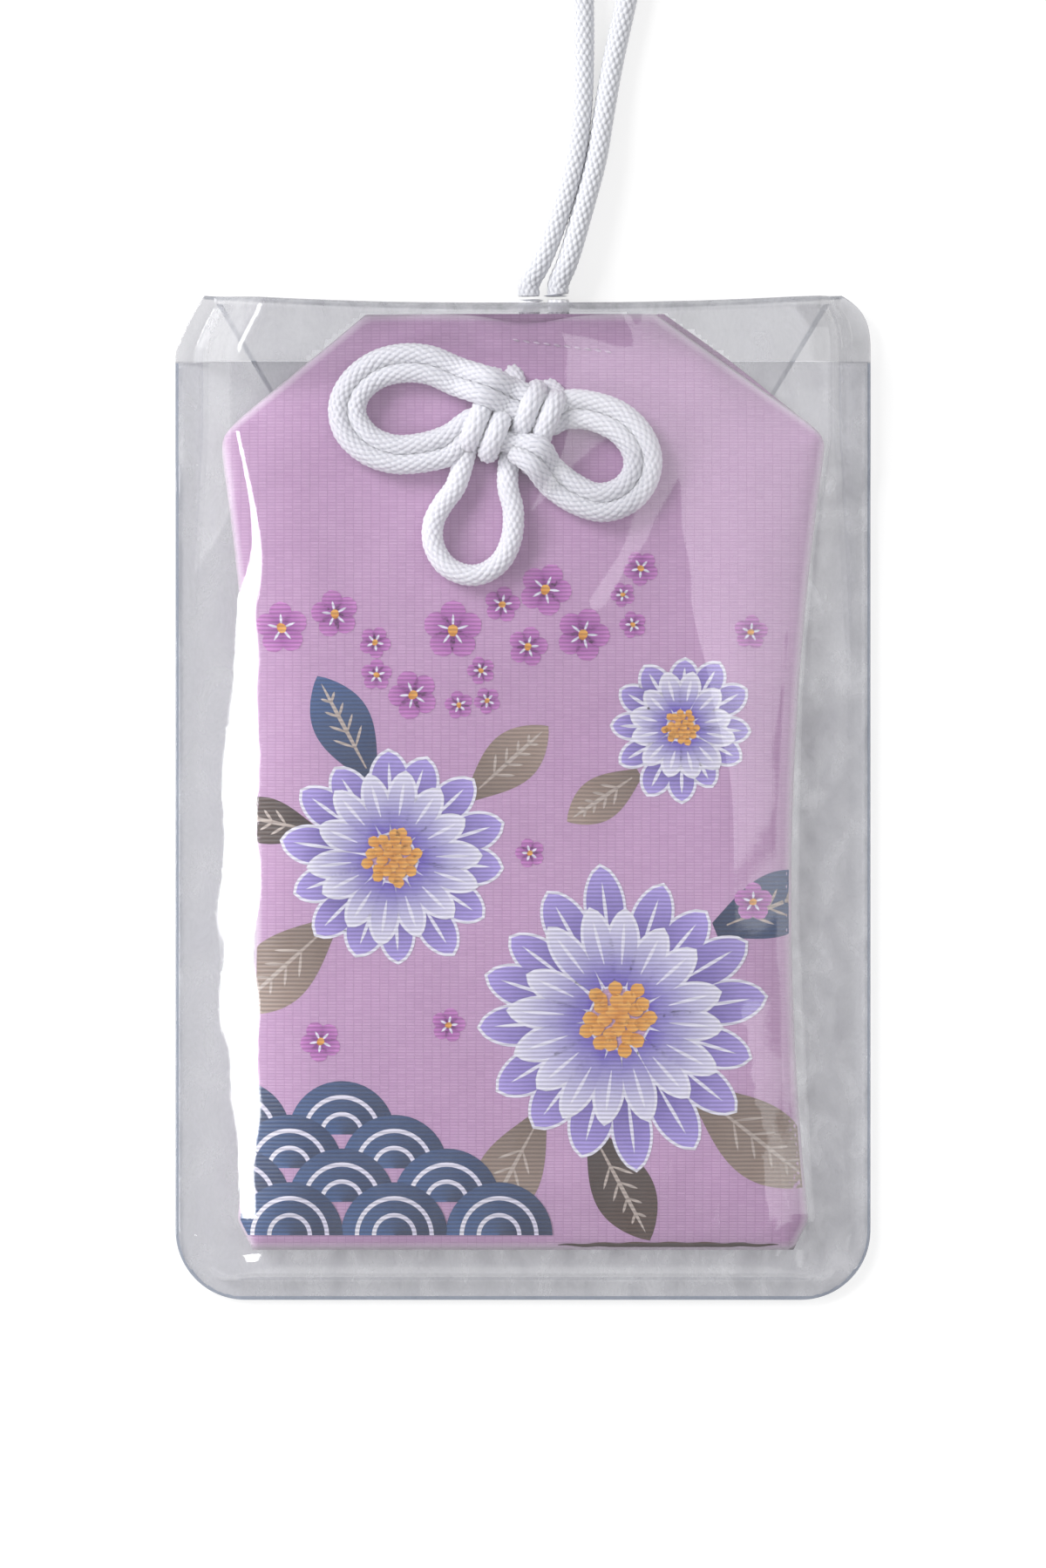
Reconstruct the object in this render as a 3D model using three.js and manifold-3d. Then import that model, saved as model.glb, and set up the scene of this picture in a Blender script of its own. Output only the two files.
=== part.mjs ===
// Brocade charm pouch with a tied cord, kept in a clear soft sleeve.
// Millimetres, lying face up: X across, +Y towards the cord's end, Z up from the table.
import * as THREE from 'three';
import { mergeVertices } from 'three/addons/utils/BufferGeometryUtils.js';
import Module from 'manifold-3d';

const wasm = await Module();
wasm.setup();

// Pouch
const POUCH_LENGTH = 80.6;
const POUCH_TOP_WIDTH = 24.8;
const POUCH_TOP_SHIFT = -1.1;
const POUCH_SHOULDER_WIDTH = 52.4;
const POUCH_SHOULDER_DROP = 10.4;
const POUCH_WAIST_WIDTH = 46.4;
const POUCH_FOOT_WIDTH = 49.2;
const POUCH_FOOT_CUT = 2.6;
const POUCH_BULGE = 1.8;
const POUCH_EDGE_ROUND = 7;
const BROCADE = 0.6;
const PANEL_GAP = 0.3;
const FILLING_ROOM = 2.6;

// Sleeve
const SHEET = 0.3;
const SIDE_MARGIN = 3.8;
const FOOT_MARGIN = 4.4;
const TOP_ROOM = 0.7;
const SLEEVE_CORNER = 6;
const WELD = 1.6;
const WELD_GAP = 0.03;
const FOLD_TAPER = 2.5;
const FOLD_TAPER_LENGTH = 4.5;
const FOLD_ROUND = 1;
const MOUTH_DROP = 5;
const SLEEVE_SLOPE = 4.6;
const SHEET_ROOM = 0.35;
const DRAW_RUN = 1.9;
const DRAW_POWER = 1.6;
const LEAST_MARGIN = 2.2;
const EDGE_OUT = 0.5;
const KNEE_IN = 1.5;
const LEAST_LEDGE = 1;
const EDGE_SHARE = 0.66;
const KNEE_SHARE = 0.84;
const LEDGE_SHARES = [[-0.884, 0.832], [-0.698, 0.802], [-0.395, 0.71], [0.023, 0.702], [0.395, 0.557],
  [0.814, 0.492]];
const EARS_TENT = { shift: [-1.6, -1], half: [16.6, 8.6], skirt: 12 };
const LOOP_TENT = { shift: [-3.3, -9.4], half: [5.6, 6.2], skirt: 12 };
const KNOT_TENT = { half: [4.2, 7.2], skirt: 11 };
const RIDGE = { foot: -0.698, top: 0.349, width: 12 };

// Flap
const FLAP_LENGTH = 14;
const FLAP_INSET = 1;
const FLAP_TAPER = 8.5;
const FLAP_CORNER = 3;
const FLAP_GAP = 0.05;
const FLAP_STEP_RUN = 2.2;

// Filling
const CARD_WIDTH = 38;
const CARD_LENGTH = 56;
const CARD = 0.8;
const CARD_CORNER = 3;
const WRAPPER_WIDTH = 27;
const WRAPPER_LENGTH = 44;
const PAPER = 0.2;
const SLIP_WIDTH = 24;
const SLIP_LENGTH = 41;
const SLIP = 0.6;
const SLIP_TIP = 5;
const LAYER_GAP = 0.05;
const FILLING_BELOW_CENTRE = 6;

// Cord
const CORD = 1.6;
const CORD_SIDES = 8;
const STRAND_GAP = 0.47;
const SEAT_GAP = 0.3;
const KNOT_BELOW_TOP = 9.3;
const KNOT_SHIFT = -0.9;
const KNOT_TILT = -22;
const SLIT_SHIFT = 1.78;
const SLIT_SPACING = 2.52;
const CORD_ROOM = 0.4;
const LIFT_RUN = 8;
const LIFT_HALF_WIDTH = 8;
const LIFT_FADE = 12;
const JOIN_GAP = 0.3;
const EYELET_ROOM = 0.5;

// Colours
const CLEAR_PVC = { color: 0xcccdd0, roughness: 0.12, metalness: 0, transparent: true, opacity: 0.35 };
const LILAC_BROCADE = { color: 0xbc94b9, roughness: 0.6, metalness: 0 };
const WHITE_CORD = { color: 0xe6e6ea, roughness: 0.7, metalness: 0 };
const GREY_CARD = { color: 0xb9b3a8, roughness: 0.9, metalness: 0 };
const WHITE_PAPER = { color: 0xf2efe8, roughness: 0.85, metalness: 0 };
const CEDAR = { color: 0xd9b98a, roughness: 0.7, metalness: 0 };

// Places that follow from the sizes
const sleeveHalfWidth = POUCH_SHOULDER_WIDTH / 2 + SIDE_MARGIN;
const sleeveHalfLength = (POUCH_LENGTH + FOOT_MARGIN + TOP_ROOM + SHEET) / 2;
const pouchTop = sleeveHalfLength - SHEET - TOP_ROOM;
const pouchFoot = pouchTop - POUCH_LENGTH;
const mouthLevel = sleeveHalfLength - MOUTH_DROP;
const flapTip = sleeveHalfLength - FLAP_LENGTH;
const flapStep = SHEET + FLAP_GAP;
const stepTop = flapTip - FLAP_GAP;
const strand = CORD + STRAND_GAP;
const knotY = pouchTop - KNOT_BELOW_TOP;
const pouchBack = SHEET + SEAT_GAP;
const pouchFront = pouchBack + 2 * BROCADE + FILLING_ROOM;
const seamLevel = pouchFront - POUCH_BULGE - BROCADE - PANEL_GAP / 2;
const riserLevel = flapStep + SHEET + SEAT_GAP + CORD / 2;
const backAboveRisers = riserLevel + CORD / 2 + SEAT_GAP;
const seamLift = backAboveRisers + BROCADE + PANEL_GAP / 2 - seamLevel;
const eyeletBack = 2.74 * strand;
const bowLevel = SEAT_GAP + CORD / 2;
const wrapLevel = bowLevel + strand;

/** Rises smoothly from 0 to 1 between two places. */
function ease(from, to, at) {
  return THREE.MathUtils.smoothstep(at, from, to);
}

/** Rises as a quarter ellipse from 0 at the edge to 1 at the run's end. */
function roundRise(distance, run) {
  const left = 1 - THREE.MathUtils.clamp(distance / run, 0, 1);
  return Math.sqrt(1 - left * left);
}

/** Turns a closed geometry into a solid that can be cut. */
function solidOf(geometry) {
  const bare = geometry.clone();
  bare.deleteAttribute('normal');
  bare.deleteAttribute('uv');
  const merged = mergeVertices(bare, 1e-4);
  const vertProperties = new Float32Array(merged.attributes.position.array);
  const triVerts = new Uint32Array(merged.index.array);
  return new wasm.Manifold(new wasm.Mesh({ numProp: 3, vertProperties, triVerts }));
}

/** Cuts one closed geometry out of another. */
function cut(geometry, tool) {
  const mesh = solidOf(geometry).subtract(solidOf(tool)).getMesh();
  const result = new THREE.BufferGeometry();
  result.setAttribute('position', new THREE.BufferAttribute(mesh.vertProperties, 3));
  result.setIndex(new THREE.BufferAttribute(mesh.triVerts, 1));
  return result;
}

/** Closes two grids of points, an upper and a lower face, into one thin solid. */
function sheetBetween(upper, lower) {
  const rows = upper.length;
  const columns = upper[0].length;
  const positions = [...upper.flat(), ...lower.flat()].flatMap((p) => [p.x, p.y, p.z]);
  const index = [];
  const top = (r, c) => r * columns + c;
  const under = (r, c) => rows * columns + top(r, c);
  const quad = (a, b, c, d) => index.push(a, b, c, a, c, d);
  for (let r = 0; r < rows - 1; r += 1) {
    for (let c = 0; c < columns - 1; c += 1) {
      quad(top(r, c), top(r, c + 1), top(r + 1, c + 1), top(r + 1, c));
      quad(under(r, c), under(r + 1, c), under(r + 1, c + 1), under(r, c + 1));
    }
    quad(top(r, 0), top(r + 1, 0), under(r + 1, 0), under(r, 0));
    quad(top(r + 1, columns - 1), top(r, columns - 1), under(r, columns - 1), under(r + 1, columns - 1));
  }
  for (let c = 0; c < columns - 1; c += 1) {
    quad(top(0, c + 1), top(0, c), under(0, c), under(0, c + 1));
    quad(top(rows - 1, c), top(rows - 1, c + 1), under(rows - 1, c + 1), under(rows - 1, c));
  }
  return indexed(positions, index);
}

/** A geometry from flat lists of coordinates and corners. */
function indexed(positions, index) {
  const geometry = new THREE.BufferGeometry();
  geometry.setAttribute('position', new THREE.Float32BufferAttribute(positions, 3));
  geometry.setIndex(index);
  return geometry;
}

/** Half the sleeve's width at a height: rounded feet, straight sides, corners drawn in at the fold. */
function sleeveHalfWidthAt(y) {
  const aboveFoot = y + sleeveHalfLength;
  const taper = FOLD_TAPER * ease(sleeveHalfLength - FOLD_TAPER_LENGTH, sleeveHalfLength, y);
  if (aboveFoot >= SLEEVE_CORNER) {
    return sleeveHalfWidth - taper;
  }
  const left = SLEEVE_CORNER - aboveFoot;
  return sleeveHalfWidth - SLEEVE_CORNER + Math.sqrt(SLEEVE_CORNER ** 2 - left ** 2);
}

/** How far the back sheet stands up over the flap at a height. */
function flapRise(y) {
  return flapStep * THREE.MathUtils.clamp((y - stepTop + FLAP_STEP_RUN) / FLAP_STEP_RUN, 0, 1);
}

/** The pouch's outline: flat mouth, sloped shoulders, drawn-in sides and cut feet. */
function pouchOutline(points) {
  const shoulder = POUCH_SHOULDER_WIDTH / 2;
  const foot = POUCH_FOOT_WIDTH / 2;
  const waistPull = POUCH_WAIST_WIDTH - (POUCH_SHOULDER_WIDTH + POUCH_FOOT_WIDTH) / 4;
  const shoulderY = pouchTop - POUCH_SHOULDER_DROP;
  const footY = pouchFoot + POUCH_FOOT_CUT;
  const waistY = (shoulderY + footY) / 2;
  const shape = new THREE.Shape();
  shape.moveTo(POUCH_TOP_SHIFT + POUCH_TOP_WIDTH / 2, pouchTop);
  shape.lineTo(POUCH_TOP_SHIFT - POUCH_TOP_WIDTH / 2, pouchTop);
  shape.lineTo(-shoulder, shoulderY);
  shape.quadraticCurveTo(-waistPull, waistY, -foot, footY);
  shape.lineTo(-foot + POUCH_FOOT_CUT / 2, pouchFoot);
  shape.lineTo(foot - POUCH_FOOT_CUT / 2, pouchFoot);
  shape.lineTo(foot, footY);
  shape.quadraticCurveTo(waistPull, waistY, shoulder, shoulderY);
  shape.closePath();
  return shape.getSpacedPoints(points).slice(0, points);
}

const outline = pouchOutline(54);

/** The shortest way from a point to the pouch's outline. */
function pouchEdgeDistance(x, y) {
  const here = new THREE.Vector3(x, y, 0);
  const near = new THREE.Vector3();
  let least = Infinity;
  outline.forEach((from, i) => {
    const to = outline[(i + 1) % outline.length];
    const side = new THREE.Line3(new THREE.Vector3(from.x, from.y, 0), new THREE.Vector3(to.x, to.y, 0));
    side.closestPointToPoint(here, true, near);
    least = Math.min(least, near.distanceTo(here));
  });
  return least;
}

/** How far the cord behind the mouth lifts the pouch at a place, from 0 to 1. */
function mouthLift(x, y) {
  const along = ease(knotY - LIFT_RUN, knotY, y);
  const across = 1 - ease(LIFT_HALF_WIDTH, LIFT_HALF_WIDTH + LIFT_FADE, Math.abs(x - SLIT_SHIFT));
  return along * across;
}

/** Height of the seam between the two panels. */
function seamAt(x, y) {
  return seamLevel + seamLift * mouthLift(x, y);
}

/** Height of the pouch's front face. */
function pouchFrontAt(x, y) {
  const seam = seamAt(x, y) + PANEL_GAP / 2 + BROCADE;
  const crown = Math.max(pouchFront, seam);
  return THREE.MathUtils.lerp(seam, crown, roundRise(pouchEdgeDistance(x, y), POUCH_EDGE_ROUND));
}

/** Height of the pouch's back face. */
function pouchBackAt(x, y) {
  const seam = seamAt(x, y) - PANEL_GAP / 2 - BROCADE;
  const flat = THREE.MathUtils.lerp(pouchBack, seam, mouthLift(x, y)) + flapRise(y) * (1 - mouthLift(x, y));
  return THREE.MathUtils.lerp(seam, flat, roundRise(pouchEdgeDistance(x, y), POUCH_EDGE_ROUND));
}

/** A cloth panel inside the pouch's outline, between two height functions, on shrinking rings. */
function clothPanel(upperAt, lowerAt) {
  const ringScales = [1, 0.975, 0.93, 0.86, 0.75, 0.64, 0.48, 0.24];
  const middleY = (pouchTop + pouchFoot) / 2;
  const count = outline.length;
  const flat = ringScales.flatMap((s) => outline.map((p) => [p.x * s, middleY + (p.y - middleY) * s]));
  flat.push([0, middleY]);
  const size = flat.length;
  const positions = [upperAt, lowerAt].flatMap((at) => flat.flatMap(([x, y]) => [x, y, at(x, y)]));
  const index = [];
  const both = (a, b, c) => index.push(a, b, c, size + a, size + c, size + b);
  for (let i = 0; i < count; i += 1) {
    const next = (i + 1) % count;
    for (let ring = 0; ring < ringScales.length - 1; ring += 1) {
      const outer = ring * count;
      const inner = outer + count;
      both(outer + i, outer + next, inner + next);
      both(outer + i, inner + next, inner + i);
    }
    both(size - 1 - count + i, size - 1 - count + next, size - 1);
    index.push(next, i, size + i, next, size + i, size + next);
  }
  return indexed(positions, index);
}

/** A rectangle with rounded corners, centred. */
function roundedRectangle(width, length, corner) {
  const shape = new THREE.Shape();
  shape.moveTo(-width / 2 + corner, -length / 2);
  shape.lineTo(width / 2 - corner, -length / 2);
  shape.quadraticCurveTo(width / 2, -length / 2, width / 2, -length / 2 + corner);
  shape.lineTo(width / 2, length / 2 - corner);
  shape.quadraticCurveTo(width / 2, length / 2, width / 2 - corner, length / 2);
  shape.lineTo(-width / 2 + corner, length / 2);
  shape.quadraticCurveTo(-width / 2, length / 2, -width / 2, length / 2 - corner);
  shape.lineTo(-width / 2, -length / 2 + corner);
  shape.quadraticCurveTo(-width / 2, -length / 2, -width / 2 + corner, -length / 2);
  return shape;
}

/** A slot with round ends, centred, long along X. */
function slotShape(length, width) {
  const shape = new THREE.Shape();
  const run = (length - width) / 2;
  shape.absarc(run, 0, width / 2, -Math.PI / 2, Math.PI / 2);
  shape.absarc(-run, 0, width / 2, Math.PI / 2, 1.5 * Math.PI);
  return shape;
}

/** A flat plate of a shape. */
function plate(shape, thickness, curveSegments = 4) {
  return new THREE.ExtrudeGeometry(shape, { depth: thickness, bevelEnabled: false, curveSegments });
}

/** A round cord along a curve. */
function cordAlong(curve, steps) {
  const section = new THREE.Shape();
  section.absarc(0, 0, CORD / 2, 0, 2 * Math.PI);
  const options = { steps, curveSegments: CORD_SIDES / 2, bevelEnabled: false, extrudePath: curve };
  return new THREE.ExtrudeGeometry(section, options);
}

/** The least gap between a cord's stretches that aren't neighbours, measured on points. */
function leastGap(curve, samples = 400) {
  const points = curve.getSpacedPoints(samples);
  const apart = Math.ceil((3 * CORD * samples) / curve.getLength());
  let least = Infinity;
  points.forEach((p, i) => {
    for (let k = i + apart; k < points.length; k += 1) {
      least = Math.min(least, p.distanceTo(points[k]));
    }
  });
  return least - CORD;
}

/** The least gap between two cords, measured on points. */
function gapBetween(one, other, samples = 300) {
  const points = other.getSpacedPoints(samples);
  const nearest = one.getSpacedPoints(samples).map((p) => Math.min(...points.map((q) => p.distanceTo(q))));
  return Math.min(...nearest) - CORD;
}

const smooth = (points) => new THREE.CatmullRomCurve3(points, false, 'centripetal');
const tilt = THREE.MathUtils.degToRad(KNOT_TILT);
const across = new THREE.Vector2(Math.cos(tilt), Math.sin(tilt));
const upward = new THREE.Vector2(-Math.sin(tilt), Math.cos(tilt));

/** A place in the knot's tilted frame, as a point seen from the knot's centre. */
function inKnot(u, v, w) {
  return new THREE.Vector3(u * across.x + v * upward.x, u * across.y + v * upward.y, w);
}

/** The bow's ears: one cord wound twice, drawn in to four strands at the waist. */
function bowEarsCurve() {
  const flatPoint = ([x, y]) => new THREE.Vector3(x, y, bowLevel);
  const rightOuter = [[3.4, -5.9], [5.5, -7.35], [7.8, -7.9], [10.1, -7.2], [11.7, -5.4], [12.1, -3.2],
    [11.3, -0.9], [9.4, 0.9], [6.9, 1.85], [4.7, 2.1]];
  const leftOuter = [[-4.6, 4.9], [-7.1, 5.8], [-9.6, 5.9], [-12.1, 5.2], [-14.1, 3.6], [-15.1, 1.4],
    [-14.7, -0.9], [-12.8, -2.9], [-10.2, -3.75], [-7.4, -3.6], [-5.3, -2.95]];
  const rightInner = [[3.6, -3.35], [5.3, -4.75], [7.0, -5.65], [8.8, -5.3], [9.9, -4.2], [9.8, -2.7],
    [8.6, -1.3], [6.6, -0.35], [4.6, -0.2]];
  const leftInner = [[-4.9, 2.7], [-7.2, 3.6], [-9.5, 3.7], [-11.5, 3.1], [-12.75, 1.7], [-12.85, 0.4],
    [-11.8, -0.8], [-10.0, -1.6], [-7.8, -1.45], [-5.6, -0.6]];
  const edge = strand;
  return smooth([
    inKnot(edge + 0.15, -1.66 * strand, bowLevel), ...rightOuter.map(flatPoint),
    inKnot(edge, 1.5 * strand, bowLevel), inKnot(-edge, 1.68 * strand, bowLevel),
    ...leftOuter.map(flatPoint),
    inKnot(-edge, -1.62 * strand, bowLevel), inKnot(edge, -0.62 * strand, bowLevel),
    ...rightInner.map(flatPoint),
    inKnot(edge, 0.42 * strand, bowLevel), inKnot(-edge, 0.62 * strand, bowLevel),
    ...leftInner.map(flatPoint),
    inKnot(-edge - 0.1, -0.46 * strand, bowLevel),
  ]);
}

/** One riser: out through the sleeve's slit, down behind the pouch and forward through the eyelet. */
function riserPoints(side) {
  const slitX = SLIT_SHIFT - KNOT_SHIFT + (side * SLIT_SPACING) / 2;
  const slitY = pouchTop - knotY + TOP_ROOM + SHEET + JOIN_GAP;
  const level = riserLevel - pouchFront;
  const eyelet = inKnot((side * strand) / 2, eyeletBack, 0);
  return [
    new THREE.Vector3(slitX, slitY, level),
    new THREE.Vector3(slitX, slitY - 1.5, level),
    new THREE.Vector3(slitX - 0.5, slitY - 3.4, level),
    new THREE.Vector3(eyelet.x + 0.2 + 0.06 * side, eyelet.y + 0.9, level + 0.3),
    new THREE.Vector3(eyelet.x, eyelet.y, level + 1.5),
    new THREE.Vector3(eyelet.x, eyelet.y, bowLevel - CORD / 2),
  ];
}

/** The wrap: from one riser over the ears' waist, round the lower loop and back to the other riser. */
function bowWrapCurve() {
  const overWaist = (side) => [
    inKnot((side * strand) / 2, eyeletBack - 0.25, bowLevel + 1),
    inKnot((side * strand) / 2, 1.8 * strand, wrapLevel),
    inKnot((side * strand) / 2, 0, wrapLevel),
    inKnot((side * strand) / 2, -1.6 * strand, wrapLevel),
    inKnot(side * 0.58 * strand, -2.45 * strand, bowLevel + 1.1),
  ];
  const lowerLoop = [[-0.75, -6.1], [0.05, -8.2], [-0.15, -10.4], [-1.1, -12.2], [-2.6, -13.2],
    [-4.2, -13.2], [-5.9, -12.3], [-6.85, -10.4], [-6.7, -8.2], [-5.6, -6.6], [-4.2, -5.6]];
  const flatLoop = lowerLoop.map(([x, y]) => new THREE.Vector3(x, y, bowLevel));
  return smooth([
    ...riserPoints(1), ...overWaist(1), ...flatLoop,
    ...overWaist(-1).reverse(), ...riserPoints(-1).reverse(),
  ]);
}

/** The hanging loop: both strands leave the slit, run up side by side and close in a round end. */
function hangingLoopCurve() {
  const level = riserLevel;
  const rest = CORD / 2 + 0.02;
  const startY = TOP_ROOM + SHEET + 2 * JOIN_GAP;
  const fromSlit = (side, y) => new THREE.Vector3(SLIT_SHIFT + (side * SLIT_SPACING) / 2, y, level);
  const upLeft = [[1.55, 4.6, 1.95], [3.3, 9.2, 1.7], [4.5, 13.6, 1.45], [5.02, 17.4, 1.2],
    [5.2, 21.5, rest], [5.2, 27, rest], [5.0, 33, rest], [4.9, 39, rest], [5.1, 45, rest],
    [6.0, 51, rest], [8.0, 55.4, rest]];
  const downRight = [[11.4, 56.4, rest], [13.6, 53.2, rest], [13.9, 48, rest], [12.8, 42, rest],
    [11.2, 35.4, rest], [9.6, 30, rest], [8.45, 25, rest], [7.7, 21.5, rest], [6.98, 17.4, 1.2],
    [6.35, 13.6, 1.45], [5.2, 9.2, 1.7], [3.85, 4.6, 1.95]];
  const point = ([x, y, z]) => new THREE.Vector3(x, y, z);
  return smooth([
    fromSlit(-1, startY), fromSlit(-1, startY + 1), ...upLeft.map(point),
    ...downRight.map(point), fromSlit(1, startY + 1), fromSlit(1, startY),
  ]);
}

/** Height that a tent over a tilted oval adds: full inside it, gone at its skirt. */
function tent(x, y, centre, [halfLength, halfWidth], angle, skirt) {
  const turned = new THREE.Vector2(x - centre.x, y - centre.y).rotateAround(new THREE.Vector2(), -angle);
  const away = Math.hypot(turned.x / halfLength, turned.y / halfWidth);
  const reach = (away - 1) * Math.min(halfLength, halfWidth);
  return 1 - ease(0, skirt, reach);
}

/** Half the pouch's width at a height, as if its sides went on up past the shoulders. */
function pouchHalfWidthAt(y) {
  const shoulderY = pouchTop - POUCH_SHOULDER_DROP;
  const footY = pouchFoot + POUCH_FOOT_CUT;
  const waistPull = POUCH_WAIST_WIDTH - (POUCH_SHOULDER_WIDTH + POUCH_FOOT_WIDTH) / 4;
  const t = THREE.MathUtils.clamp((shoulderY - y) / (shoulderY - footY), 0, 1);
  const ends = ((1 - t) ** 2 * POUCH_SHOULDER_WIDTH + t ** 2 * POUCH_FOOT_WIDTH) / 2;
  return ends + 2 * t * (1 - t) * waistPull - THREE.MathUtils.clamp(footY - y, 0, POUCH_FOOT_CUT) / 2;
}

/** Value at a place in a table of rising places and their values. */
function fromTable(table, place) {
  const next = table.findIndex(([key]) => key >= place);
  if (next <= 0) {
    return table.at(next)[1];
  }
  const [lowKey, low] = table[next - 1];
  const [highKey, high] = table[next];
  return THREE.MathUtils.lerp(low, high, (place - lowKey) / (highKey - lowKey));
}

/** Where the front sheet bends on its right: over the pouch's edge, at its knee and at the flat's ledge. */
function rightBends(y) {
  const inner = sleeveHalfWidthAt(y) - WELD;
  const margin = Math.max(inner - pouchHalfWidthAt(y), LEAST_MARGIN);
  const edge = inner - margin + EDGE_OUT;
  const knee = edge - EDGE_OUT - KNEE_IN;
  const share = fromTable(LEDGE_SHARES, y / sleeveHalfLength);
  const ledge = Math.min((share * POUCH_SHOULDER_WIDTH) / 2, knee - LEAST_LEDGE);
  return { inner, margin, edge, knee, ledge };
}

/** How far the front sheet has risen from its welds to its full height, from 0 to 1. */
function sheetRise(x, y) {
  const { inner, margin, edge, knee, ledge } = rightBends(y);
  const part = (from, to) => THREE.MathUtils.clamp((from - x) / (from - to), 0, 1);
  const right = EDGE_SHARE * part(inner, edge) + (KNEE_SHARE - EDGE_SHARE) * part(edge, knee)
    + (1 - KNEE_SHARE) * part(knee, ledge);
  const drawn = THREE.MathUtils.clamp((inner + x) / (DRAW_RUN * margin), 0, 1);
  const left = 1 - (1 - drawn) ** DRAW_POWER;
  const foot = roundRise(y + sleeveHalfLength - WELD, SLEEVE_SLOPE);
  return Math.min(left, right, foot);
}

/** Outer height of the front sheet: drawn from its welds over the pouch, ridged and tented over the bow. */
function frontSheetAt(x, y) {
  const weldTop = 2 * SHEET + WELD_GAP + flapRise(y);
  const over = SHEET_ROOM + SHEET;
  const mouth = Math.max(0, seamLevel + seamLift + PANEL_GAP / 2 + BROCADE - pouchFront) * mouthLift(x, y);
  const knot = new THREE.Vector2(KNOT_SHIFT, knotY);
  const ears = new THREE.Vector2(...EARS_TENT.shift).add(knot);
  const loop = new THREE.Vector2(...LOOP_TENT.shift).add(knot);
  const earsTent = tent(x, y, ears, EARS_TENT.half, tilt / 2, EARS_TENT.skirt);
  const loopTent = tent(Math.min(x, loop.x), y, loop, LOOP_TENT.half, 0, LOOP_TENT.skirt);
  const knotTent = tent(x, y, knot, KNOT_TENT.half, tilt, KNOT_TENT.skirt);
  const { ledge } = rightBends(y);
  const climb = (y / sleeveHalfLength - RIDGE.foot) / (RIDGE.top - RIDGE.foot);
  const ridge = THREE.MathUtils.clamp(climb, 0, 1) * ease(ledge - RIDGE.width, ledge, x);
  const bow = (bowLevel + CORD / 2) * Math.max(earsTent, loopTent, ridge) + strand * knotTent;
  return THREE.MathUtils.lerp(weldTop, pouchFront + over + mouth + bow, sheetRise(x, y));
}

/** Positions across the sleeve for one row: the weld lines, the bends and even steps to the middle. */
function acrossSleeve(y) {
  const half = sleeveHalfWidthAt(y);
  const { inner, edge, knee, ledge } = rightBends(y);
  const left = [1, 0.93, 0.85, 0.74, 0.61, 0.47, 0.32, 0.16].map((share) => -share * inner);
  const middle = [0, 0.25, 0.5, 0.75].map((share) => share * ledge);
  return [-half, ...left, ...middle, ledge, knee, edge, inner, half];
}

/** The front sheet: welded rim, pillowed front, rolled over the top and down to the fold. */
function frontSheet() {
  const foot = -sleeveHalfLength;
  const inside = foot + WELD;
  const rowsY = [foot, foot + 0.4, inside, inside + 1, inside + 2.4, inside + SLEEVE_SLOPE];
  const body = [-30, -17, -8, 1].map((y) => Math.max(y, inside + SLEEVE_SLOPE + 1));
  const bowRows = [-22, -18.5, -15.5, -12.5, -9.5, -6.5, -3.5, -0.5, 2, 4.5, 6.5].map((dy) => knotY + dy);
  const foldStart = sleeveHalfLength - FOLD_ROUND;
  const front = [...rowsY, ...body, ...bowRows, foldStart];
  const outer = front.map((y) => acrossSleeve(y).map((x) => new THREE.Vector3(x, y, frontSheetAt(x, y))));
  const wallFoot = flapStep + FLAP_GAP + SHEET / 2;
  const columns = acrossSleeve(sleeveHalfLength);
  const last = outer[outer.length - 1];
  const roll = [30, 60, 90].map((degrees) => {
    const a = THREE.MathUtils.degToRad(degrees);
    return columns.map((x, c) => {
      const drop = Math.min(FOLD_ROUND, (last[c].z - wallFoot) / 2) * (1 - Math.cos(a));
      return new THREE.Vector3(THREE.MathUtils.lerp(last[c].x, x, degrees / 90),
        foldStart + FOLD_ROUND * Math.sin(a), last[c].z - drop);
    });
  });
  const rolled = roll[roll.length - 1];
  const wall = [0.5, 1].map((part) => columns.map(
    (x, c) => new THREE.Vector3(x, sleeveHalfLength, THREE.MathUtils.lerp(rolled[c].z, wallFoot, part))));
  const face = [...outer, ...roll, ...wall];
  const weldRows = rowsY.filter((y) => y <= inside).length;
  return cut(sheetBetween(face, offsetGrid(face, SHEET, weldRows)), slitTool());
}

/** A grid moved back along its own normals; the welded rim moves straight down. */
function offsetGrid(grid, distance, weldRows) {
  const last = grid[0].length - 1;
  return grid.map((row, r) => row.map((p, c) => {
    const east = row[Math.min(c + 1, last)].clone().sub(row[Math.max(c - 1, 0)]);
    const north = grid[Math.min(r + 1, grid.length - 1)][c].clone().sub(grid[Math.max(r - 1, 0)][c]);
    const onRim = r < weldRows || ((c < 2 || c > last - 2) && p.y < sleeveHalfLength - FOLD_ROUND);
    const normal = onRim ? new THREE.Vector3(0, 0, 1) : east.cross(north).normalize();
    return p.clone().addScaledVector(normal, -distance);
  }));
}

/** The slit in the sleeve's rolled top, sized by the two strands. */
function slitTool() {
  const shape = slotShape(SLIT_SPACING + CORD + 2 * CORD_ROOM, CORD + 2 * CORD_ROOM);
  const tool = plate(shape, 4 * FOLD_ROUND, 6);
  tool.rotateX(Math.PI / 2);
  tool.translate(SLIT_SHIFT, sleeveHalfLength + FOLD_ROUND, riserLevel);
  return tool;
}

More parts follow.
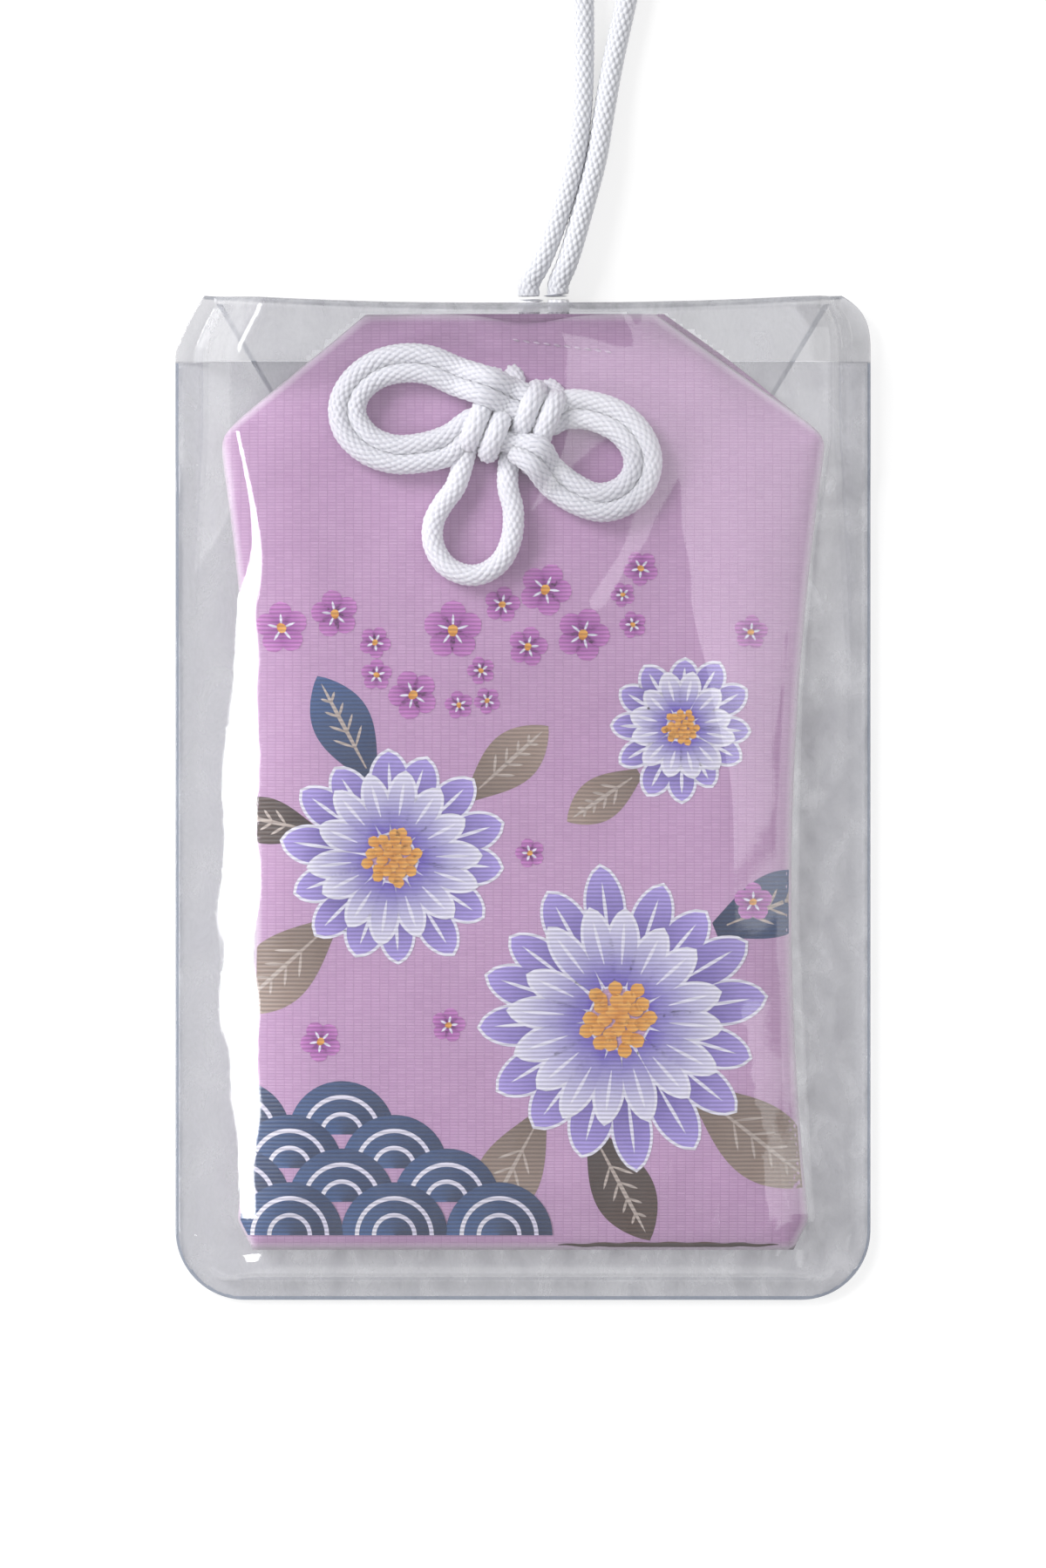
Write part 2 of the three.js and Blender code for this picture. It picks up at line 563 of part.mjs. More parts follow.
/** The back sheet: flat on the table, stepping up over the flap below the mouth. */
function backSheet() {
  const foot = -sleeveHalfLength;
  const corner = [0, 0.4, 1.6, 3.4, SLEEVE_CORNER].map((dy) => foot + dy);
  const rowsY = [...corner, stepTop - FLAP_STEP_RUN, stepTop, mouthLevel];
  const grid = (lift) => rowsY.map((y) => [-1, 1].map(
    (side) => new THREE.Vector3(side * sleeveHalfWidthAt(y), y, flapRise(y) + lift)));
  return sheetBetween(grid(SHEET), grid(0));
}

/** The flap: a tapered tongue with rounded corners, drawn from its fold line down. */
function flap() {
  const root = sleeveHalfWidth - FOLD_TAPER - FLAP_INSET;
  const tip = root - FLAP_TAPER;
  const shape = new THREE.Shape();
  shape.moveTo(root, -SHEET / 2);
  shape.lineTo(-root, -SHEET / 2);
  shape.lineTo(-tip - FLAP_CORNER * 0.6, -FLAP_LENGTH + FLAP_CORNER);
  shape.quadraticCurveTo(-tip, -FLAP_LENGTH, -tip + FLAP_CORNER, -FLAP_LENGTH);
  shape.lineTo(tip - FLAP_CORNER, -FLAP_LENGTH);
  shape.quadraticCurveTo(tip, -FLAP_LENGTH, tip + FLAP_CORNER * 0.6, -FLAP_LENGTH + FLAP_CORNER);
  shape.closePath();
  return plate(shape, SHEET);
}

/** A cloth panel with the eyelet for the two risers. */
function pouchPanel(upperAt, lowerAt) {
  const shape = slotShape(strand + CORD + 2 * EYELET_ROOM, CORD + 2 * EYELET_ROOM);
  const tool = plate(shape, 2 * pouchFront, 6);
  const centre = inKnot(0, eyeletBack, 0);
  tool.rotateZ(tilt);
  tool.translate(KNOT_SHIFT + centre.x, knotY + centre.y, -pouchFront / 2);
  return cut(clothPanel(upperAt, lowerAt), tool);
}

/** The paper wrapper: a flat folded tube, open at both ends. */
function wrapper() {
  const inside = SLIP + 2 * LAYER_GAP;
  const shape = roundedRectangle(WRAPPER_WIDTH, inside + 2 * PAPER, PAPER);
  shape.holes.push(roundedRectangle(WRAPPER_WIDTH - 2 * PAPER, inside, PAPER / 2));
  const tube = plate(shape, WRAPPER_LENGTH, 2);
  tube.rotateX(Math.PI / 2);
  tube.translate(0, WRAPPER_LENGTH / 2, inside / 2 + PAPER);
  return tube;
}

/** The charm slip: a thin wooden tablet with a gabled head. */
function charmSlip() {
  const shape = new THREE.Shape();
  shape.moveTo(-SLIP_WIDTH / 2, -SLIP_LENGTH / 2);
  shape.lineTo(SLIP_WIDTH / 2, -SLIP_LENGTH / 2);
  shape.lineTo(SLIP_WIDTH / 2, SLIP_LENGTH / 2 - SLIP_TIP);
  shape.lineTo(0, SLIP_LENGTH / 2);
  shape.lineTo(-SLIP_WIDTH / 2, SLIP_LENGTH / 2 - SLIP_TIP);
  shape.closePath();
  return plate(shape, SLIP);
}

/** One named piece at a place. */
function piece(name, geometry, finish, x = 0, y = 0, z = 0) {
  const mesh = new THREE.Mesh(geometry, new THREE.MeshStandardMaterial(finish));
  mesh.name = name;
  mesh.position.set(x, y, z);
  return mesh;
}

const ears = bowEarsCurve();
const wrap = bowWrapCurve();
const hanging = hangingLoopCurve();
console.log(`least gap of the ears' cord to itself: ${leastGap(ears).toFixed(2)} mm`);
console.log(`least gap of the wrap's cord to itself: ${leastGap(wrap).toFixed(2)} mm`);
console.log(`least gap between wrap and ears: ${gapBetween(wrap, ears).toFixed(2)} mm`);
console.log(`hanging loop: ${hanging.getLength().toFixed(1)} mm, gap ${leastGap(hanging).toFixed(2)} mm`);

const sleeve = new THREE.Group();
sleeve.add(piece('sleeve_back_sheet', backSheet(), CLEAR_PVC));
sleeve.add(piece('sleeve_front_sheet', frontSheet(), CLEAR_PVC));

const flapGroup = new THREE.Group();
flapGroup.position.set(0, sleeveHalfLength - SHEET / 2, 0);
flapGroup.add(piece('sleeve_flap', flap(), CLEAR_PVC));

const fillingY = (pouchTop + pouchFoot) / 2 - FILLING_BELOW_CENTRE;
const cardLevel = pouchBack + BROCADE + PANEL_GAP;
const wrapperLevel = cardLevel + CARD + LAYER_GAP;
const slipLevel = wrapperLevel + PAPER + LAYER_GAP;
const pouch = new THREE.Group();
const frontInner = (x, y) => pouchFrontAt(x, y) - BROCADE;
const backInner = (x, y) => pouchBackAt(x, y) + BROCADE;
pouch.add(piece('pouch_back_panel', pouchPanel(backInner, pouchBackAt), LILAC_BROCADE));
pouch.add(piece('pouch_front_panel', pouchPanel(pouchFrontAt, frontInner), LILAC_BROCADE));
const cardShape = roundedRectangle(CARD_WIDTH, CARD_LENGTH, CARD_CORNER);
pouch.add(piece('stiffener_card', plate(cardShape, CARD), GREY_CARD, 0, fillingY, cardLevel));
pouch.add(piece('charm_wrapper', wrapper(), WHITE_PAPER, 0, fillingY, wrapperLevel));
pouch.add(piece('charm_slip', charmSlip(), CEDAR, 0, fillingY, slipLevel));

const bow = new THREE.Group();
bow.position.set(KNOT_SHIFT, knotY, pouchFront);
bow.add(piece('bow_ears', cordAlong(ears, 120), WHITE_CORD));
bow.add(piece('bow_wrap', cordAlong(wrap, 84), WHITE_CORD));
pouch.add(bow);
pouch.add(piece('hanging_loop', cordAlong(hanging, 64), WHITE_CORD, 0, pouchTop, 0));

const charm = new THREE.Group();
charm.add(sleeve, flapGroup, pouch);

export default charm;
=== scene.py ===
"""Looks of a brocade charm pouch with a cord bow, kept in a clear soft vinyl sleeve."""

import logging
import math
from dataclasses import dataclass
from enum import Enum
from typing import Callable, Sequence

import bmesh
import bpy
import numpy as np
from mathutils import Euler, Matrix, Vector


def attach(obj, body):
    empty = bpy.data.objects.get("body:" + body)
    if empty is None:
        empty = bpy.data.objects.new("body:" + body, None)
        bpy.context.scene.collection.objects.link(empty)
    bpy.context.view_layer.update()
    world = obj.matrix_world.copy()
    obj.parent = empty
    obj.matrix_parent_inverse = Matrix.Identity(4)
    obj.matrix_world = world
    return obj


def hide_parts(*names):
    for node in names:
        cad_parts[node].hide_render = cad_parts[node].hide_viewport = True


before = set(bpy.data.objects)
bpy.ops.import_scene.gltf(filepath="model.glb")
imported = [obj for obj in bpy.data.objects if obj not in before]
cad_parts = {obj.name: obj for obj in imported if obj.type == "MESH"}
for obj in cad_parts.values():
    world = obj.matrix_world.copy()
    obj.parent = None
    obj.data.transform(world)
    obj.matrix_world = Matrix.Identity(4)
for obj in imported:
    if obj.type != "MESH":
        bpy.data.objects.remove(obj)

MM = 0.001

# Places that several pieces share, in millimetres: the knot, the eyelet behind it and the step over the flap
KNOT = (-0.9, 32.7, 4.4)
KNOT_TILT = math.radians(-22)
EYELET = (1.2, 37.9)
STEP_START = 26.75
STEP_RUN = 2.2
STEP = 0.35

logging.basicConfig(level=logging.INFO, format="%(message)s")
log = logging.getLogger("charm")

Array = np.ndarray
Point = tuple[float, float, float]
Socket = bpy.types.NodeSocket
Tree = bpy.types.NodeTree
Outline = Callable[[Array, Array], tuple[Array, Array]]


class Body(Enum):
    """Bodies of the frame that the pieces ride on."""

    SLEEVE = "sleeve"
    FLAP = "flap"
    POUCH = "pouch"


class Slot(Enum):
    """Material slots of the record, passed along with new pieces but not given to them."""

    CLEAR_SHEET = "clear_sheet"
    BROCADE = "brocade"
    CORD = "cord"


# Colours and nodes


def linear(hex_colour: str) -> tuple[float, float, float, float]:
    """Turns an sRGB hex colour into linear values.

    Args:
        hex_colour: Six hex digits, such as "bc94b9".

    Returns:
        Linear red, green, blue and a full alpha.
    """
    parts = [int(hex_colour[i : i + 2], 16) / 255 for i in (0, 2, 4)]
    red, green, blue = (c / 12.92 if c <= 0.04045 else ((c + 0.055) / 1.055) ** 2.4 for c in parts)
    return red, green, blue, 1.0


def add_node(tree: Tree, kind: str, inputs: dict | None = None, **settings: object) -> bpy.types.Node:
    """Adds a node with its settings and its links.

    Args:
        tree: The node tree.
        kind: The node's type name, without its usual beginning.
        inputs: Values or output sockets for its inputs, by name or number.
        **settings: Properties of the node.

    Returns:
        The new node.
    """
    node = tree.nodes.new("ShaderNode" + kind)
    for name, value in settings.items():
        setattr(node, name, value)
    for key, value in (inputs or {}).items():
        if isinstance(value, Socket):
            tree.links.new(value, node.inputs[key])
        else:
            node.inputs[key].default_value = value
    return node


def new_material(name: str) -> tuple[bpy.types.Material, Tree]:
    """Makes an empty material.

    Args:
        name: Name of the real material and its making.

    Returns:
        The material and its node tree.
    """
    material = bpy.data.materials.new(name)
    material.use_nodes = True
    material.node_tree.nodes.clear()
    return material, material.node_tree


def own_place(tree: Tree) -> Socket:
    """Places on the piece in its own coordinates, in metres."""
    return add_node(tree, "TexCoord").outputs["Object"]


def attribute(tree: Tree, name: str) -> Socket:
    """Level that the piece's points keep under a name."""
    return add_node(tree, "Attribute", attribute_name=name).outputs["Fac"]


def noise(tree: Tree, place: Socket, per_mm: float, detail: float, rough: float, stir: float = 0.0) -> Socket:
    """Adds an uneven texture.

    Args:
        tree: The node tree.
        place: Where the texture is read.
        per_mm: Spots in a millimetre.
        detail: Steps of finer spots.
        rough: How much the finer spots count.
        stir: How far the spots are distorted.

    Returns:
        Its level from 0 to 1.
    """
    grain = {"Scale": per_mm / MM, "Detail": detail, "Roughness": rough, "Distortion": stir}
    return add_node(tree, "TexNoise", {"Vector": place, **grain}).outputs["Fac"]


def span(tree: Tree, level: Socket, low: float, high: float, start: float = 0.0, end: float = 1.0) -> Socket:
    """Turns a level into a value of another range.

    Args:
        tree: The node tree.
        level: The level.
        low: The value where the level is at its start.
        high: The value where it is at its end.
        start: Start of the level.
        end: End of the level.

    Returns:
        The value.
    """
    inputs = {"Value": level, "From Min": start, "From Max": end, "To Min": low, "To Max": high}
    return add_node(tree, "MapRange", inputs).outputs["Result"]


def fade(tree: Tree, level: Socket, *stops: tuple[float, str]) -> Socket:
    """Turns a level into a colour that fades between two.

    Args:
        tree: The node tree.
        level: The level.
        *stops: Level and hex colour of both ends.

    Returns:
        The colour.
    """
    ramp = add_node(tree, "ValToRGB", {"Fac": level})
    for element, (place, colour) in zip(ramp.color_ramp.elements, stops):
        element.position = place
        element.color = linear(colour)
    return ramp.outputs["Color"]


def bump(tree: Tree, level: Socket, strength: float, depth: float, under: Socket | None = None) -> Socket:
    """Adds fine relief.

    Args:
        tree: The node tree.
        level: Height of the relief from 0 to 1.
        strength: How strongly it shows.
        depth: Its depth in millimetres.
        under: Coarser relief that it lies on.

    Returns:
        The surface's direction.
    """
    inputs = {"Height": level, "Strength": strength, "Distance": depth * MM}
    if under:
        inputs["Normal"] = under
    return add_node(tree, "Bump", inputs).outputs["Normal"]


def mix_levels(tree: Tree, share: float, first: Socket, second: Socket) -> Socket:
    """Mixes two levels by the second one's share."""
    return add_node(tree, "Mix", {0: share, 2: first, 3: second}, data_type="FLOAT").outputs[0]


def mix_colours(tree: Tree, share: object, first: Socket, second: object, blend: str = "MIX") -> Socket:
    """Mixes two colours by the second one's share."""
    inputs = {0: share, 6: first, 7: second}
    return add_node(tree, "Mix", inputs, data_type="RGBA", blend_type=blend).outputs[2]


def mix_shaders(tree: Tree, share: Socket, first: bpy.types.Node, second: bpy.types.Node) -> bpy.types.Node:
    """Mixes two shaders by the second one's share."""
    return add_node(tree, "MixShader", {0: share, 1: first.outputs[0], 2: second.outputs[0]})


def surface(tree: Tree, inputs: dict[str, object]) -> None:
    """Ends a material in an opaque surface.

    Args:
        tree: The node tree.
        inputs: Inputs of the surface by name.
    """
    shader = add_node(tree, "BsdfPrincipled", inputs)
    add_node(tree, "OutputMaterial", {"Surface": shader.outputs["BSDF"]})


# Shapes shared with the frame, in millimetres


def ease(low: float, high: float, value: Array) -> Array:
    """Rises smoothly from 0 to 1 between two places.

    Args:
        low: Where the rise begins.
        high: Where it ends.
        value: Places to look at.

    Returns:
        Values from 0 to 1.
    """
    t = np.clip((np.asarray(value, float) - low) / (high - low), 0, 1)
    return t * t * (3 - 2 * t)


def round_rise(distance: Array, run: float) -> Array:
    """Rises as a quarter ellipse from 0 at an edge to 1 at the run's end.

    Args:
        distance: Distances in from the edge.
        run: Length of the rise.

    Returns:
        Values from 0 to 1.
    """
    left = 1 - np.clip(np.asarray(distance, float) / run, 0, 1)
    return np.sqrt(1 - left * left)


def over_flap(y: Array) -> Array:
    """How far the layers that lie on the flap step up at some heights."""
    return STEP * np.clip((y - STEP_START) / STEP_RUN, 0, 1)


def catmull_rom(points: Sequence[Point], step: float) -> Array:
    """Runs a centripetal Catmull-Rom line through points and cuts it into even steps.

    Args:
        points: The points that the line goes through.
        step: Length of a step.

    Returns:
        Points along the line, an even step apart.
    """

    def mix(m: Array, n: Array, i: int, k: int) -> Array:
        """Goes from one point to another between two knots of the line."""
        return ((knots[k] - t) * m + (t - knots[i]) * n) / (knots[k] - knots[i])

    samples = 40
    p = np.asarray(points, float)
    p = np.vstack([2 * p[0] - p[1], p, 2 * p[-1] - p[-2]])
    fine = []
    for a, b, c, d in zip(p, p[1:], p[2:], p[3:]):
        knots = np.cumsum([0] + [math.sqrt(np.linalg.norm(n - m)) for m, n in ((a, b), (b, c), (c, d))])
        t = np.linspace(knots[1], knots[2], samples, endpoint=False)[:, None]
        low, mid, high = mix(a, b, 0, 1), mix(b, c, 1, 2), mix(c, d, 2, 3)
        fine.append(mix(mix(low, mid, 0, 2), mix(mid, high, 1, 3), 1, 2))
    line = np.vstack(fine + [p[-2:-1]])
    along = np.concatenate([[0], np.cumsum(np.linalg.norm(np.diff(line, axis=0), axis=1))])
    places = np.linspace(0, along[-1], max(2, round(along[-1] / step) + 1))
    return np.stack([np.interp(places, along, line[:, i]) for i in range(3)], axis=1)


@dataclass(frozen=True)
class Waves:
    """Soft uneven waves such as lie in handled cloth and film, longer along than across by their stretch."""

    height: float
    length: float
    seed: int
    stretch: float = 1.0
    count: int = 7

    def at(self, x: Array, y: Array) -> Array:
        """Lays the waves over some places.

        Args:
            x: Places across.
            y: Places along.

        Returns:
            Heights in millimetres, above and below 0.
        """
        chance = np.random.default_rng(self.seed)
        total = np.zeros_like(np.asarray(x, float))
        for _ in range(self.count):
            angle, phase = chance.uniform(0, 2 * math.pi, 2)
            pace = 2 * math.pi / (self.length * chance.uniform(0.7, 1.5))
            total += np.sin(pace * (np.cos(angle) * x + np.sin(angle) * y / self.stretch) + phase)
        return self.height * (total / (self.count / 2))


@dataclass(frozen=True)
class PouchForm:
    """Outline and faces of the pouch, as the frame has them."""

    top: float = 42.0
    foot: float = -38.6
    top_width: float = 24.8
    top_shift: float = -1.1
    shoulder_width: float = 52.4
    shoulder_drop: float = 10.4
    shoulder_round: float = 0.8
    waist_width: float = 46.4
    foot_width: float = 49.2
    foot_cut: float = 2.6
    front_level: float = 4.4
    back_level: float = 0.6
    seam_level: float = 1.85
    seam_lift: float = 1.75
    seam_half: float = 0.15
    cloth: float = 0.6
    edge_round: float = 7.0
    slit_shift: float = 1.78
    foot_draw: float = 0.14
    draw_start: float = 6.0
    draw_end: float = 2.0
    lift_run: float = 8.0
    lift_half: float = 8.0
    lift_end: float = 20.0
    calm_edge: float = 3.0

    SWELLS = Waves(0.07, 19, 3)
    PUCKERS = Waves(0.02, 5, 4)

    def half_width(self, y: Array) -> Array:
        """Half the width at some heights, as if the sides went on up past the shoulders.

        Args:
            y: Heights.

        Returns:
            Half widths there.
        """
        shoulder_y = self.top - self.shoulder_drop
        foot_y = self.foot + self.foot_cut
        pull = 2 * self.waist_width - (self.shoulder_width + self.foot_width) / 2
        t = np.clip((shoulder_y - y) / (shoulder_y - foot_y), 0, 1)
        half = ((1 - t) ** 2 * self.shoulder_width + t**2 * self.foot_width) / 2 + t * (1 - t) * pull
        return half - np.clip(foot_y - y, 0, self.foot_cut) / 2

    def shoulder_run(self, side: int) -> float:
        """How far a shoulder slopes in, on the left (-1) or the right (1)."""
        return (self.shoulder_width - self.top_width) / 2 - side * self.top_shift

    def sides(self, y: Array) -> tuple[Array, Array]:
        """Left and right edge of the outline at some heights, its shoulders a little rounded.

        Args:
            y: Heights.

        Returns:
            The left and the right edge there.
        """
        half = self.half_width(y)
        rise = (y - self.top + self.shoulder_drop) / self.shoulder_drop
        soft = self.shoulder_round
        edges = []
        for side in (-1, 1):
            slope = self.shoulder_width / 2 - rise * self.shoulder_run(side)
            rounded = soft * np.log1p(np.exp(-np.abs(half - slope) / soft))
            edges.append(side * (np.minimum(half, slope) - rounded))
        return edges[0], edges[1]

    def edge_distance(self, x: Array, y: Array) -> Array:
        """Shortest way from places inside the pouch to its outline.

        Args:
            x: Places across.
            y: Places along.

        Returns:
            Distances in millimetres.
        """
        half = self.half_width(y)
        drop = self.shoulder_drop
        rise = y - self.top + drop
        gaps = [x + half, half - x, self.top - y, y - self.foot]
        for side in (-1, 1):
            run = self.shoulder_run(side)
            gaps.append(((self.shoulder_width / 2 - side * x) * drop - rise * run) / math.hypot(run, drop))
        return np.maximum(np.minimum.reduce(gaps), 0)

    def lift(self, x: Array, y: Array) -> Array:
        """How far the cord behind the mouth lifts the pouch, from 0 to 1.

        Args:
            x: Places across.
            y: Places along.

        Returns:
            Values from 0 to 1.
        """
        beside = ease(self.lift_half, self.lift_end, np.abs(x - self.slit_shift))
        return ease(KNOT[1] - self.lift_run, KNOT[1], y) * (1 - beside)

    def front(self, x: Array, y: Array) -> Array:
        """Height of the front face.

        Args:
            x: Places across.
            y: Places along.

        Returns:
            Heights in millimetres.
        """
        seam = self.seam_level + self.seam_lift * self.lift(x, y) + self.cloth + self.seam_half
        crown = np.maximum(self.front_level, seam)
        return seam + (crown - seam) * round_rise(self.edge_distance(x, y), self.edge_round)

    def cloth_front(self, x: Array, y: Array) -> Array:
        """Height of the front face as the cloth lies: uneven, settled, and drawn down at the foot.

        Args:
            x: Places across.
            y: Places along.

        Returns:
            Heights in millimetres.
        """
        inside = ease(0, self.calm_edge, self.edge_distance(x, y))
        drawn = self.foot_draw * ease(self.foot + self.draw_start, self.foot + self.draw_end, y)
        uneven = inside * self.SWELLS.at(x, y) + self.PUCKERS.at(x, y)
        return self.front(x, y) + uneven - drawn + SETTLED.at(x, y)

    def back(self, x: Array, y: Array) -> Array:
        """Height of the back face.

        Args:
            x: Places across.
            y: Places along.

        Returns:
            Heights in millimetres.
        """
        lift = self.lift(x, y)
        seam = self.seam_level + self.seam_lift * lift - self.cloth - self.seam_half
        flat = self.back_level + (seam - self.back_level) * lift + over_flap(y) * (1 - lift)
        return seam + (flat - seam) * round_rise(self.edge_distance(x, y), self.edge_round)


POUCH = PouchForm()


# Pieces


def add_piece(name: str, data: bpy.types.ID) -> bpy.types.Object:
    """Links something new into the scene.

    Args:
        name: Its name.
        data: Its mesh, curve, lamp or camera.

    Returns:
        The new object.
    """
    piece = bpy.data.objects.new(name, data)
    bpy.context.collection.objects.link(piece)
    return piece


def from_shape(name: str, shape: bmesh.types.BMesh, smooth: bool = True) -> bpy.types.Object:
    """Turns a finished shape into a piece.

    Args:
        name: The piece's name.
        shape: The shape, which is freed.
        smooth: Whether its faces are shaded smooth.

    Returns:
        The piece.
    """
    for face in shape.faces:
        face.smooth = smooth
    mesh = bpy.data.meshes.new(name)
    shape.to_mesh(mesh)
    shape.free()
    return add_piece(name, mesh)


def grid_piece(name: str, columns: int, rows: int, form: Callable[[Array, Array], Array]) -> bpy.types.Object:
    """Makes a piece from an even grid, each point moved to its place.

    Args:
        name: The piece's name.
        columns: Faces across.
        rows: Faces along.
        form: Gives the places in millimetres for points from 0 to 1 across and along.

    Returns:
        The piece, shaded smooth.
    """
    flat = bmesh.new()
    bmesh.ops.create_grid(flat, x_segments=columns, y_segments=rows, size=1)
    ends = np.array([v.co[:2] for v in flat.verts])
    places = form((ends[:, 0] + 1) / 2, (ends[:, 1] + 1) / 2) * MM
    for vertex, place in zip(flat.verts, places):
        vertex.co = place
    return from_shape(name, flat)


def thicken(piece: bpy.types.Object, thickness: float) -> None:
    """Gives a grid its real thickness, downwards from its face.

    Args:
        piece: The grid; its second and third material, if any, go on the underside and the rim.
        thickness: Thickness in millimetres.
    """
    solid = piece.modifiers.new("thickness", "SOLIDIFY")
    solid.thickness = thickness * MM
    solid.offset = -1
    solid.use_even_offset = True
    solid.material_offset = 1
    solid.material_offset_rim = 2


def mark(mesh: bpy.types.Mesh, name: str, levels: Array) -> None:
    """Keeps a level at each point of a mesh under a name."""
    mesh.attributes.new(name, "FLOAT", "POINT").data.foreach_set("value", levels.ravel())


def settle(piece: bpy.types.Object, body: Body, slot: Slot | None = None, *nodes: str) -> None:
    """Puts a piece on its body and lets it stand for frame nodes.

    Args:
        piece: The finished piece.
        body: The body that it rides on.
        slot: The record's material slot; not used.
        *nodes: Frame nodes that it stands for.
    """
    if nodes:
        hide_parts(*nodes)
    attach(piece, body.value)
    log.info("%s: %d faces on %s", piece.name, len(piece.data.polygons), body.value)


# Cord


@dataclass(frozen=True)
class BraidedNylon:
    """White braided nylon cord: round pale plaits, with painted shade greying the gaps between them."""

    name: str = "nylon_cord_braided"
    crown: str = "e8e8ec"
    # Colour of the painted shade in the crevices between the plaits; the cord itself is white throughout.
    crevice_shade: str = "bcbec8"

    def material(self) -> bpy.types.Material:
        """Makes the cord's material.

        Returns:
            A soft white fibre with fine filament lines, and painted shade darker between the plaits.
        """
        material, tree = new_material(self.name)
        filament = noise(tree, own_place(tree), 9.0, 3, 0.7)
        surface(tree, {
            # Plait height fades from the painted crevice shade up to the cord's own white.
            "Base Color": fade(tree, attribute(tree, "crown"), (0.0, self.crevice_shade), (0.55, self.crown)),
            "Roughness": 0.55,
            "Normal": bump(tree, filament, 0.35, 0.04),
            "Subsurface Weight": 0.6,
            "Subsurface Radius": (1.0, 1.0, 1.0),
            "Subsurface Scale": 0.5 * MM,
            "Sheen Weight": 0.2,
        })
        return material


@dataclass(frozen=True)
class Braid:
    """A round braid: plaits that cross over and under one another."""

    diameter: float = 1.9
    carriers: int = 10
    plait_length: float = 0.98
    relief: float = 0.21
    end_height: float = 0.45
    step: float = 0.1
    resolution: int = 28

    def height(self, turn: Array, along: Array) -> Array:
        """Height of the plaits at places on the cord.

        Args:
            turn: Part of a full turn round the cord.
            along: Millimetres along the cord.

        Returns:
            Heights from 0 in the gaps to 1 on the crowns.
        """
        one = self.carriers * turn + along / self.plait_length
        other = self.carriers * turn - along / self.plait_length
        over = (np.floor(one) + np.floor(other)) % 2 == 0
        a, b = one % 1, other % 1
        width, length = np.where(over, a, b), np.where(over, b, a)
        arc = self.end_height + (1 - self.end_height) * np.sin(np.pi * length)
        return np.sqrt(np.sin(np.pi * width)) * arc

    def tube(self, name: str, line: Array) -> bpy.types.Mesh:
        """Makes a smooth round tube along a line.

        Args:
            name: The tube's name.
            line: Points along its middle, in millimetres.

        Returns:
            The tube, ring by ring, with the two end caps last.
        """
        data = bpy.data.curves.new(name, "CURVE")
        data.dimensions = "3D"
        data.bevel_depth = self.diameter / 2 * MM
        data.bevel_resolution = self.resolution
        data.use_fill_caps = True
        spline = data.splines.new("POLY")
        spline.points.add(len(line) - 1)
        spline.points.foreach_set("co", np.c_[line * MM, np.ones(len(line))].ravel())
        shape = add_piece(name + "_line", data)
        mesh = bpy.data.meshes.new_from_object(shape.evaluated_get(bpy.context.evaluated_depsgraph_get()))
        bpy.data.objects.remove(shape)
        bpy.data.curves.remove(data)
        return mesh

    def lay(self, name: str, line: Array) -> bpy.types.Object:
        """Makes a braided cord along a line.

        Args:
            name: The piece's name.
            line: Evenly spaced points along its middle, in millimetres.

        Returns:
            The cord as a mesh piece.
        """
        mesh = self.tube(name, line)
        line = np.vstack([line, line[0], line[-1]])
        around = len(mesh.vertices) // len(line)
        places = np.empty(len(mesh.vertices) * 3)
        mesh.vertices.foreach_get("co", places)
        places = places.reshape(len(line), around, 3)
        crown = self.height(np.arange(around)[None, :] / around, np.arange(len(line))[:, None] * self.step)
        crown[-2:] = 0
        middle = (line * MM)[:, None, :]
        grown = middle + (places - middle) * (1 - self.relief * (1 - crown))[:, :, None]
        mesh.vertices.foreach_set("co", grown.ravel())
        mark(mesh, "crown", crown)
        mesh.polygons.foreach_set("use_smooth", np.ones(len(mesh.polygons), bool))
        mesh.update()
        return add_piece(name, mesh)


